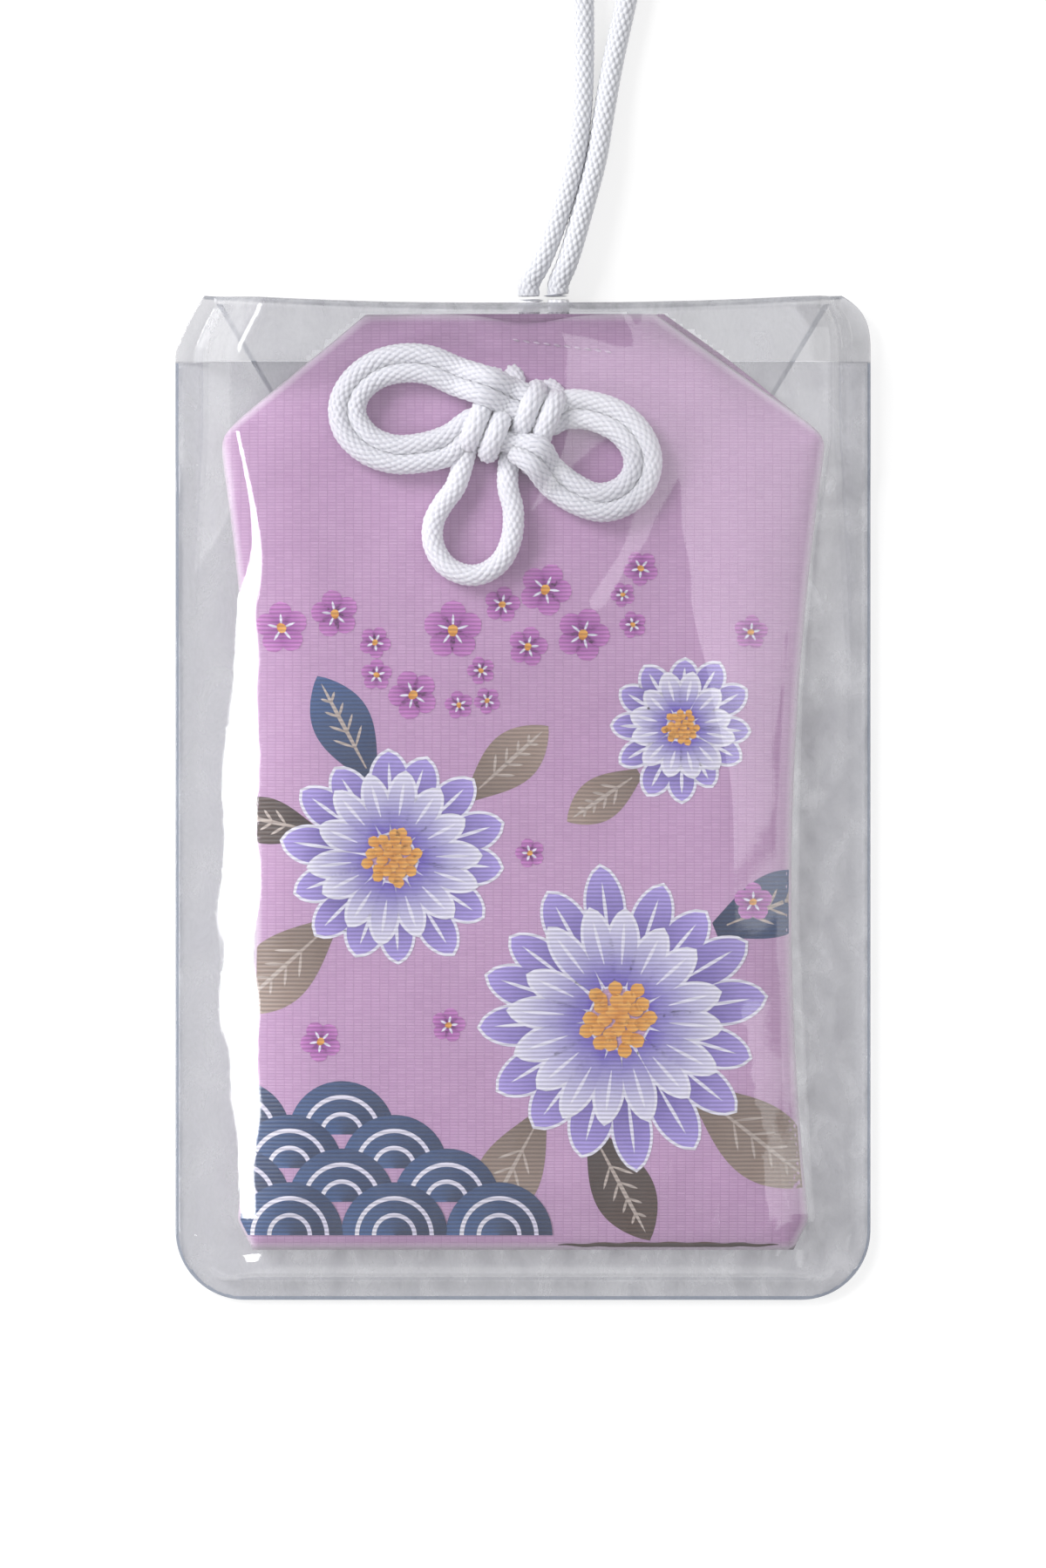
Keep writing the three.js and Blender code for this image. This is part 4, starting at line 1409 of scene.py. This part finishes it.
    def waves(self) -> None:
        """Weaves four rows of overlapping waves in the lower left corner."""
        radius = self.wave_radius
        apart = radius * self.wave_closeness
        for row in range(self.wave_rows):
            odd, layer = row % 2, 1 + 2 * row
            y = self.FIRST_WAVE[1] - self.wave_drop * row
            row_end = -1 - 2.4 * (self.wave_rows - 1 - row)
            for number in range(self.wave_rows + odd):
                x = self.FIRST_WAVE[0] + (2 * number - odd) * apart
                if x > row_end:
                    continue
                self.patch(Silk.NAVY, arch((x, y), radius, 0.999 * radius), layer, 8, 22)
                for share in self.WAVE_LINES:
                    self.patch(Silk.LINE, arch((x, y), share * radius, 0.08 * radius), layer + 1, 2, 22)

    def drift(self) -> None:
        """Strews plum blossoms over a band under the bow."""
        chance = np.random.default_rng(self.drift_seed)
        taken = list(self.KEPT_FREE)
        for _ in range(self.drift_tries):
            x = chance.uniform(-21, 12)
            middle = self.drift_level + self.drift_sway * math.sin(0.16 * x + 0.6)
            y = middle + chance.normal(0, self.drift_sway)
            radius = chance.uniform(1.1, 2.7)
            if all(math.hypot(x - other[0], y - other[1]) > radius + other[2] for other in taken):
                taken.append((x, y, radius))
                self.blossom((x, y), radius, chance.uniform(0, 6))

    def build(self) -> None:
        """Weaves all figures, one piece for each silk."""
        self.patch(Silk.BROWN, foot_line, 1, 90, 3)
        for leaf in self.LEAVES:
            self.leaf(*leaf)
        self.waves()
        for rosette in self.ROSETTES:
            self.rosette(*rosette)
        self.drift()
        for blossom in self.BLOSSOMS:
            self.blossom(*blossom)
        for silk, woven in self.silks.items():
            name, near, far = silk.value
            piece = from_shape("woven_" + name, woven)
            piece.data.materials.append(WeftFigure("silk_weft_" + name, near, far).material())
            settle(piece, Body.POUCH)


# Sleeve


@dataclass(frozen=True)
class ClearVinyl:
    """Clear soft PVC film: see-through, with a gloss on both faces and a faint milky haze."""

    name: str = "pvc_film_clear_calendered"
    haze: float = 0.045
    mottle: float = 0.015
    tint: str = "fafafb"
    grey: str = "d4d5d9"
    ior: float = 1.5

    def material(self) -> bpy.types.Material:
        """Makes the film.

        Returns:
            A see-through gloss whose haze is uneven where the film is mottled.
        """
        material, tree = new_material(self.name)
        behind = add_node(tree, "NewGeometry").outputs["Backfacing"]
        index = span(tree, behind, self.ior, 1 / self.ior)
        gloss_share = add_node(tree, "Fresnel", {"IOR": index}).outputs["Fac"]
        drawn = add_node(tree, "Mapping", {"Vector": own_place(tree), "Scale": (1.0, 0.55, 1.0)})
        cloud = noise(tree, drawn.outputs["Vector"], 0.42, 5, 0.62, 0.4)
        milk = span(tree, cloud, self.haze - self.mottle, self.haze + self.mottle, 0.3, 0.7)
        clear = add_node(tree, "BsdfTransparent", {"Color": linear(self.tint)})
        white = add_node(tree, "BsdfDiffuse", {"Color": linear(self.grey)})
        relief = bump(tree, cloud, 0.06, 0.2)
        gloss = add_node(tree, "BsdfGlossy", {"Color": (1, 1, 1, 1), "Roughness": 0.05, "Normal": relief})
        film = mix_shaders(tree, gloss_share, mix_shaders(tree, milk, clear, white), gloss)
        add_node(tree, "OutputMaterial", {"Surface": film.outputs[0]})
        return material


@dataclass(frozen=True)
class Tent:
    """Film that is held up over a tilted oval."""

    centre: tuple[float, float]
    size: tuple[float, float]
    angle: float
    skirt: float

    def at(self, x: Array, y: Array) -> Array:
        """How far the film is held up.

        Args:
            x: Places across.
            y: Places along.

        Returns:
            Values from 0 beyond the skirt to 1 over the oval.
        """
        c, s = math.cos(self.angle), math.sin(self.angle)
        dx, dy = x - self.centre[0], y - self.centre[1]
        away = np.hypot((dx * c + dy * s) / self.size[0], (dy * c - dx * s) / self.size[1]) - 1
        return 1 - ease(0, self.skirt, away * min(self.size))


@dataclass
class Sleeve:
    """The welded sleeve: front film, back film and the flap folded down behind its top."""

    clear: ClearVinyl = ClearVinyl()
    # The cut edge's dark tint and grey haze are painted shade, standing in for the dark line that light draws
    # along a film's edge.
    edge: ClearVinyl = ClearVinyl("pvc_film_cut_edge_painted_shade", 0.5, 0.1, "c4c9d2", "9aa1ae")
    # The back film's grey milky haze is partly the film's own haze and partly painted shade, greying the
    # margins as the shade under the sleeve does.
    back_haze_and_shade: ClearVinyl = ClearVinyl("pvc_film_back_haze_and_painted_shade", 0.45, 0.3, "e9e9eb", "c8c8cc")
    bare: ClearVinyl = ClearVinyl("pvc_film_clear_underside", 0.0, 0.0, "fcfcfd", "cdcdd0")
    # Above the mouth, where no back film lies behind, this grey haze is partly the film's own haze and partly
    # painted shade like the margins'.
    bent: ClearVinyl = ClearVinyl("pvc_film_fold_haze_and_painted_shade", 0.5, 0.22, "e6e6e8", "b8b8bc")
    tongue: ClearVinyl = ClearVinyl("pvc_film_clear_flap", 0.06, 0.03, "f8f8fa", "e6e6e9")
    half_width: float = 30.0
    half_length: float = 43.0
    corner: float = 6.0
    shoulder: float = 4.5
    shoulder_in: float = 2.5
    weld: float = 1.6
    weld_gap: float = 0.03
    sheet: float = 0.3
    fold: float = 1.0
    mouth: float = 38.0
    foot_run: float = 4.0
    over_pouch: float = 5.05
    over_bow: float = 1.9
    over_knot: float = 2.07
    least_margin: float = 2.2
    least_ledge: float = 2.5
    left_run: float = 1.9
    left_curve: float = 1.6
    wall_foot: float = 0.2
    top_bow: float = 0.9
    top_rise: float = 0.2
    flap_length: float = 14.0
    flap_width: float = 53.0
    flap_taper: float = 8.5
    flap_corner: float = 3.0
    edge_line: float = 0.26
    flap_edge_line: float = 0.38

    WAVES = Waves(0.05, 13, 21, 1.6)
    FINE_WAVES = Waves(0.025, 5, 22, 2.0)
    # Shares of the front film's rows where its flat ends and where its roll ends
    FLAT_END, ROLL_END = 0.92, 0.97
    # Shares of the rise from the right weld to the pouch's edge, on to a knee beyond it and on to the ledge
    RIGHT_RISES = (0.66, 0.18, 0.16)
    # How far the film comes down before the pouch's edge, and where its knee lies behind that edge
    EDGE_AHEAD, KNEE_BEHIND = 0.5, 1.5
    # Ledge on the right, along which the film bends down from the pouch
    LEDGE_Y = (-38, -30, -17, 1, 17, 35)
    LEDGE_X = (21.8, 21.0, 18.6, 18.4, 14.6, 12.9)
    EARS = Tent((-2.5, 31.7), (16.6, 8.6), KNOT_TILT / 2, 12)
    LOOP = Tent((-4.2, 23.3), (5.6, 6.2), 0, 12)
    WRAP = Tent(KNOT[:2], (4.2, 7.2), KNOT_TILT, 11)
    # Opposite corners of the slit for the two strands
    SLIT_LOW, SLIT_HIGH = (-0.9, 41.5, 0.6), (4.4, 43.2, 2.95)
    # Places of the bent film and of the cut edge in a film's list of materials
    BENT, CUT = 3, 6

    def half_at(self, y: Array, side: Array) -> Array:
        """Half the sleeve's width at some heights.

        Args:
            y: Heights.
            side: Below 0 on the left, above 0 on the right.

        Returns:
            Half widths: round feet, straight sides, at the fold a slanting left corner and a round right one.
        """
        rise = np.clip((y - self.half_length + self.shoulder) / self.shoulder, 0, 1)
        taper = self.shoulder_in * np.where(side < 0, rise**1.15, rise**3)
        left = np.clip(self.corner - (y + self.half_length), 0, self.corner)
        return self.half_width - taper - self.corner + np.sqrt(self.corner**2 - left**2)

    def up_from_foot(self, share: Array, end: float) -> Array:
        """Heights of rows from the foot upwards, close together round the feet.

        Args:
            share: Shares of the rows from 0 to 1.
            end: Height of the last row.

        Returns:
            Heights in millimetres.
        """
        bend = 0.1
        low = self.corner * (1 - np.cos(np.minimum(share / bend, 1) * math.pi / 2))
        high = (end + self.half_length - self.corner) * np.clip((share - bend) / (1 - bend), 0, 1)
        return low + high - self.half_length

    @staticmethod
    def crowd(u: Array, share: float) -> Array:
        """Places from -1 to 1 for points from 0 to 1, closer together towards both ends."""
        return np.sin((u - 0.5) * math.pi * share) / math.sin(share / 2 * math.pi)

    def rim_distance(self, x: float, y: float) -> float:
        """How far a place lies in from the sleeve's outline.

        Args:
            x: Place across.
            y: Place along.

        Returns:
            Distance in millimetres.
        """
        over = abs(x) - self.half_width + self.corner
        down = self.corner - self.half_length - y
        if over > 0 and down > 0:
            return self.corner - math.hypot(over, down)
        return min(float(self.half_at(np.array(y), np.array(x))) - abs(x), y + self.half_length)

    def held(self, x: Array, y: Array, inner: Array, to_ledge: Array, margin: Array) -> Array:
        """How far the film has come up from its welds.

        Args:
            x: Places across.
            y: Places along.
            inner: Half widths inside the welds there.
            to_ledge: Ways from the right weld to the ledge there.
            margin: Ways from the welds to the pouch there.

        Returns:
            Values from 0 at the welds to 1 where the film is up.
        """
        left = 1 - (1 - np.clip((inner + x) / (self.left_run * margin), 0, 1)) ** self.left_curve
        bends = [np.zeros_like(x), margin - self.EDGE_AHEAD, margin + self.KNEE_BEHIND, to_ledge]
        right = np.zeros_like(x)
        for start, end, rise in zip(bends, bends[1:], self.RIGHT_RISES):
            right += rise * np.clip((inner - x - start) / (end - start), 0, 1)
        foot = round_rise(y + self.half_length - self.weld, self.foot_run)
        return np.minimum(np.minimum(left, right), foot)

    def height(self, x: Array, y: Array) -> Array:
        """Outer height of the front film: drawn taut from the welds over the pouch and the bow.

        Args:
            x: Places across.
            y: Places along.

        Returns:
            Heights in millimetres.
        """
        rim = 2 * self.sheet + self.weld_gap + over_flap(y)
        inner = self.half_at(y, x) - self.weld
        margin = np.maximum(inner - POUCH.half_width(y), self.least_margin)
        ledge = inner - np.interp(y, self.LEDGE_Y, self.LEDGE_X)
        to_ledge = np.maximum(ledge, margin + self.least_ledge)
        held = self.held(x, y, inner, to_ledge, margin)
        loop = self.LOOP.at(np.minimum(x, self.LOOP.centre[0]), y)
        ridge = np.clip((y + 30) / 45, 0, 1) * ease(-12, 0, x - inner + to_ledge)
        bow = np.maximum(np.maximum(self.EARS.at(x, y), loop), ridge)
        crown = self.over_pouch + self.over_bow * bow + self.over_knot * self.WRAP.at(x, y)
        waves = self.WAVES.at(x, y) + self.FINE_WAVES.at(x, y)
        return rim + (crown - rim) * held + waves * ease(0, 0.6, held)

    def front_face(self, u: Array, v: Array) -> Array:
        """Places of the front film: the front, the roll over the top and the wall down to the fold.

        Args:
            u: Points across from 0 to 1.
            v: Points along from 0 to 1.

        Returns:
            Places in millimetres.
        """
        y = self.up_from_foot(np.clip(v / self.FLAT_END, 0, 1), self.half_length - self.fold)
        spread = self.crowd(u, 0.86)
        weld_line = 1 - self.weld / self.half_width
        off_line = np.abs(np.abs(spread) - weld_line)
        spread = np.where(off_line < off_line.min() + 1e-6, np.sign(spread) * weld_line, spread)
        angle = np.clip((v - self.FLAT_END) / (self.ROLL_END - self.FLAT_END), 0, 1) * math.pi / 2
        beyond = self.fold * np.sin(angle)
        x = self.half_at(y + beyond, spread) * spread
        z = self.height(x, y)
        wall_foot = STEP + self.wall_foot
        roll = np.minimum(self.fold, (z - wall_foot) / 2)
        z = z - roll * (1 - np.cos(angle))
        down = np.clip((v - self.ROLL_END) / (1 - self.ROLL_END), 0, 1)
        z = z + (wall_foot - z) * down
        near_top = ease(self.half_length - 6, self.half_length - 1, y)
        bow = (self.top_bow * spread**2 - self.top_rise) * near_top
        return np.stack([x, y + beyond + bow, z], axis=1)

    def back_face(self, u: Array, v: Array) -> Array:
        """Places of the back film, which steps up over the flap.

        Args:
            u: Points across from 0 to 1.
            v: Points along from 0 to 1.

        Returns:
            Places in millimetres.
        """
        y = self.up_from_foot(v, self.mouth)
        x = self.half_at(y, u - 0.5) * (2 * u - 1)
        return np.stack([x, y, self.sheet + over_flap(y)], axis=1)

    def flap_half(self, y: Array) -> Array:
        """Half the flap's width at some heights.

        Args:
            y: Heights.

        Returns:
            Half widths: tapered towards the tip, whose corners are round.
        """
        up = y - self.half_length + self.flap_length
        corner = self.flap_corner
        tip = corner - np.sqrt(np.maximum(corner**2 - (corner - np.clip(up, 0, corner)) ** 2, 0))
        return self.flap_width / 2 - self.flap_taper * (1 - up / self.flap_length) - tip

    def flap_face(self, u: Array, v: Array) -> Array:
        """Places of the flap, which narrows towards its round-cornered tip.

        Args:
            u: Points across from 0 to 1.
            v: Points along from 0 to 1.

        Returns:
            Places in millimetres.
        """
        y = self.half_length - self.flap_length * (1 - v)
        return np.stack([self.flap_half(y) * self.crowd(u, 0.9), y, np.full_like(y, self.sheet)], axis=1)

    def open_slit(self, film: bpy.types.Object) -> None:
        """Cuts the slit for the two strands out of the film's top wall.

        Args:
            film: The front film.
        """

        def inside(place: Vector) -> bool:
            """Whether a place lies in the slit."""
            sides = zip(self.SLIT_LOW, place, self.SLIT_HIGH)
            return all(low * MM < at < high * MM for low, at, high in sides)

        cut = bmesh.new()
        cut.from_mesh(film.data)
        doomed = [face for face in cut.faces if inside(face.calc_center_median())]
        bmesh.ops.delete(cut, geom=doomed, context="FACES")
        cut.to_mesh(film.data)
        cut.free()

    def mark_front(self, film: bpy.types.Mesh) -> None:
        """Creases the front film at its welds, and picks out its bent top and its cut edge.

        Args:
            film: The front film's mesh.
        """
        crease = (self.half_width - self.weld) * MM
        for side in film.edges:
            ends = [film.vertices[i].co for i in side.vertices]
            side.use_edge_sharp = all(abs(abs(end.x) - crease) < 0.05 * MM for end in ends)
        for face in film.polygons:
            x, y = face.center.x / MM, face.center.y / MM
            left, right = POUCH.sides(np.array(y))
            # Above the mouth, faces beside the pouch and on the wall take the fold's haze with painted shade.
            if y > self.mouth and (x < left - 0.15 or x > right + 0.85 or y > POUCH.top - 0.1):
                face.material_index = self.BENT
            # Faces along the cut edge take the painted edge shade.
            if y < self.mouth and self.rim_distance(x, y) < self.edge_line:
                face.material_index = self.CUT

    def mark_flap(self, flap: bpy.types.Mesh) -> None:
        """Picks out the flap's cut edge.

        Args:
            flap: The flap's mesh.
        """
        for face in flap.polygons:
            x, y = face.center.x / MM, face.center.y / MM
            # Faces along the flap's cut edge take the painted edge shade.
            if self.flap_half(y) - abs(x) < self.flap_edge_line:
                face.material_index = self.CUT

    def build(self) -> None:
        """Makes the three films."""
        edge, bare, bent = self.edge.material(), self.bare.material(), self.bent.material()
        front = grid_piece("sleeve_front_film", 150, 210, self.front_face)
        self.open_slit(front)
        back = grid_piece("sleeve_back_film", 80, 120, self.back_face)
        flap = grid_piece("sleeve_flap_film", 60, 30, self.flap_face)
        for film, finish, body, node in (
            (front, self.clear, Body.SLEEVE, "sleeve_front_sheet"),
            (back, self.back_haze_and_shade, Body.SLEEVE, "sleeve_back_sheet"),
            (flap, self.tongue, Body.FLAP, "sleeve_flap"),
        ):
            # Threes of face, underside and rim: as it is, bent, and at the cut edge
            for material in (finish.material(), bare, edge, bent, bare, edge, edge, bare, edge):
                film.data.materials.append(material)
            thicken(film, self.sheet)
            settle(film, body, Slot.CLEAR_SHEET, node)
        self.mark_front(front.data)
        self.mark_flap(flap.data)


# Filling


@dataclass(frozen=True)
class FibreBoard:
    """Plain board, paper or planed wood: fibres drawn out along the sheet in two close tones."""

    name: str
    dark: str
    light: str
    grain: float
    stretch: float

    def material(self) -> bpy.types.Material:
        """Makes the board.

        Returns:
            A matt fibrous surface.
        """
        material, tree = new_material(self.name)
        drawn = add_node(tree, "Mapping", {"Vector": own_place(tree), "Scale": (1.0, 1 / self.stretch, 1.0)})
        fibre = noise(tree, drawn.outputs["Vector"], 1 / self.grain, 5, 0.65)
        surface(tree, {
            "Base Color": fade(tree, fibre, (0.3, self.dark), (0.7, self.light)),
            "Roughness": 0.85,
            "Normal": bump(tree, fibre, 0.3, 0.05),
        })
        return material


class Filling:
    """What the pouch holds: a stiff card and a wooden slip in a folded paper."""

    FINISHES = (
        ("stiffener_card", FibreBoard("greyboard_pressed", "a8a297", "c4beb3", 0.6, 1.0)),
        ("charm_wrapper", FibreBoard("paper_washi_white", "e6e2d8", "f6f4ee", 1.2, 3.0)),
        ("charm_slip", FibreBoard("cedar_planed", "c29c68", "e2c596", 0.9, 14.0)),
    )

    def dress(self) -> None:
        """Gives the filling's own solids their finishes."""
        for node, finish in self.FINISHES:
            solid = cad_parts[node]
            solid.data.materials.clear()
            solid.data.materials.append(finish.material())
            log.info("%s: dressed in %s", node, finish.name)


# Studio


@dataclass(frozen=True)
class Lamp:
    """A soft rectangular lamp, in millimetres and watts."""

    name: str
    place: Point
    size: tuple[float, float]
    watts: float
    aim: Point

    def hang(self) -> None:
        """Hangs the lamp so that it faces its aim."""
        data = bpy.data.lights.new(self.name, "AREA")
        data.shape = "RECTANGLE"
        data.size, data.size_y = (side * MM for side in self.size)
        data.energy = self.watts
        lamp = add_piece(self.name, data)
        lamp.location = Vector(self.place) * MM
        lamp.rotation_euler = (Vector(self.aim) - Vector(self.place)).to_track_quat("-Z", "Y").to_euler()


@dataclass
class Studio:
    """Pale table, soft lamps and the camera straight above."""

    centre_y: float = 1.54
    picture_height: float = 134.9
    focus_level: float = 4.0
    lens: float = 240.0
    sensor: float = 36.0
    room: float = 0.42

    LAMPS = (
        Lamp("key_softbox", (-710, 555, 630), (500, 500), 10.5, (0, 0, 0)),
        Lamp("right_panel", (380, 95, 600), (632, 310), 0.92, (380, 95, 0)),
        Lamp("right_low_panel", (560, 0, 330), (420, 240), 0.45, (24, 0, 3)),
        Lamp("left_strip", (-175, -19, 103), (74, 46), 0.176, (-26, -19, 2)),
    )

    def build(self) -> None:
        """Sets the table, the lamps, the surroundings and the camera."""
        self.table()
        for lamp in self.LAMPS:
            lamp.hang()
        self.surroundings()
        self.camera()

    def table(self) -> None:
        """Makes the pale table that keeps the charm's soft shadow."""
        shape = bmesh.new()
        bmesh.ops.create_grid(shape, x_segments=1, y_segments=1, size=3)
        table = from_shape("table", shape, smooth=False)
        table.location.z = -0.2 * MM
        material, tree = new_material("paper_backdrop_white")
        path = add_node(tree, "LightPath").outputs
        rays = {0: path["Is Camera Ray"], 1: path["Is Transmission Ray"]}
        seen = add_node(tree, "Math", rays, operation="MAXIMUM").outputs[0]
        glow = add_node(tree, "Emission", {"Color": (1, 1, 1, 1), "Strength": 0.7})
        shaded = add_node(tree, "BsdfDiffuse", {"Color": (0.34, 0.34, 0.34, 1)})
        both = add_node(tree, "AddShader", {0: glow.outputs[0], 1: shaded.outputs[0]})
        plain = add_node(tree, "BsdfDiffuse", {"Color": (0.8, 0.8, 0.8, 1)})
        paper = mix_shaders(tree, seen, plain, both)
        add_node(tree, "OutputMaterial", {"Surface": paper.outputs[0]})
        table.data.materials.append(material)

    def surroundings(self) -> None:
        """Sets an even pale room round the table."""
        world = bpy.data.worlds.new("pale_room")
        world.use_nodes = True
        tree = world.node_tree
        tree.nodes.clear()
        seen = add_node(tree, "LightPath").outputs["Is Camera Ray"]
        room = add_node(tree, "Background", {"Color": (1, 1, 1, 1), "Strength": self.room})
        white = add_node(tree, "Background", {"Color": (1, 1, 1, 1), "Strength": 1.0})
        add_node(tree, "OutputWorld", {"Surface": mix_shaders(tree, seen, room, white).outputs[0]})
        bpy.context.scene.world = world
        bpy.context.scene.view_settings.view_transform = "Standard"

    def camera(self) -> None:
        """Puts the camera straight above the charm."""
        data = bpy.data.cameras.new("camera")
        data.sensor_fit = "VERTICAL"
        data.sensor_height = self.sensor
        data.lens = self.lens
        data.clip_start = 0.01
        height = self.picture_height * self.lens / self.sensor + self.focus_level
        camera = add_piece("camera", data)
        camera.location = (0, self.centre_y * MM, height * MM)
        bpy.context.scene.camera = camera


def main() -> None:
    """Builds the charm's looks piece by piece."""
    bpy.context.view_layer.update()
    Studio().build()
    Cords().build()
    PouchCloth().build()
    WovenFigures().build()
    Sleeve().build()
    Filling().dress()


if __name__ == "__main__":
    main()
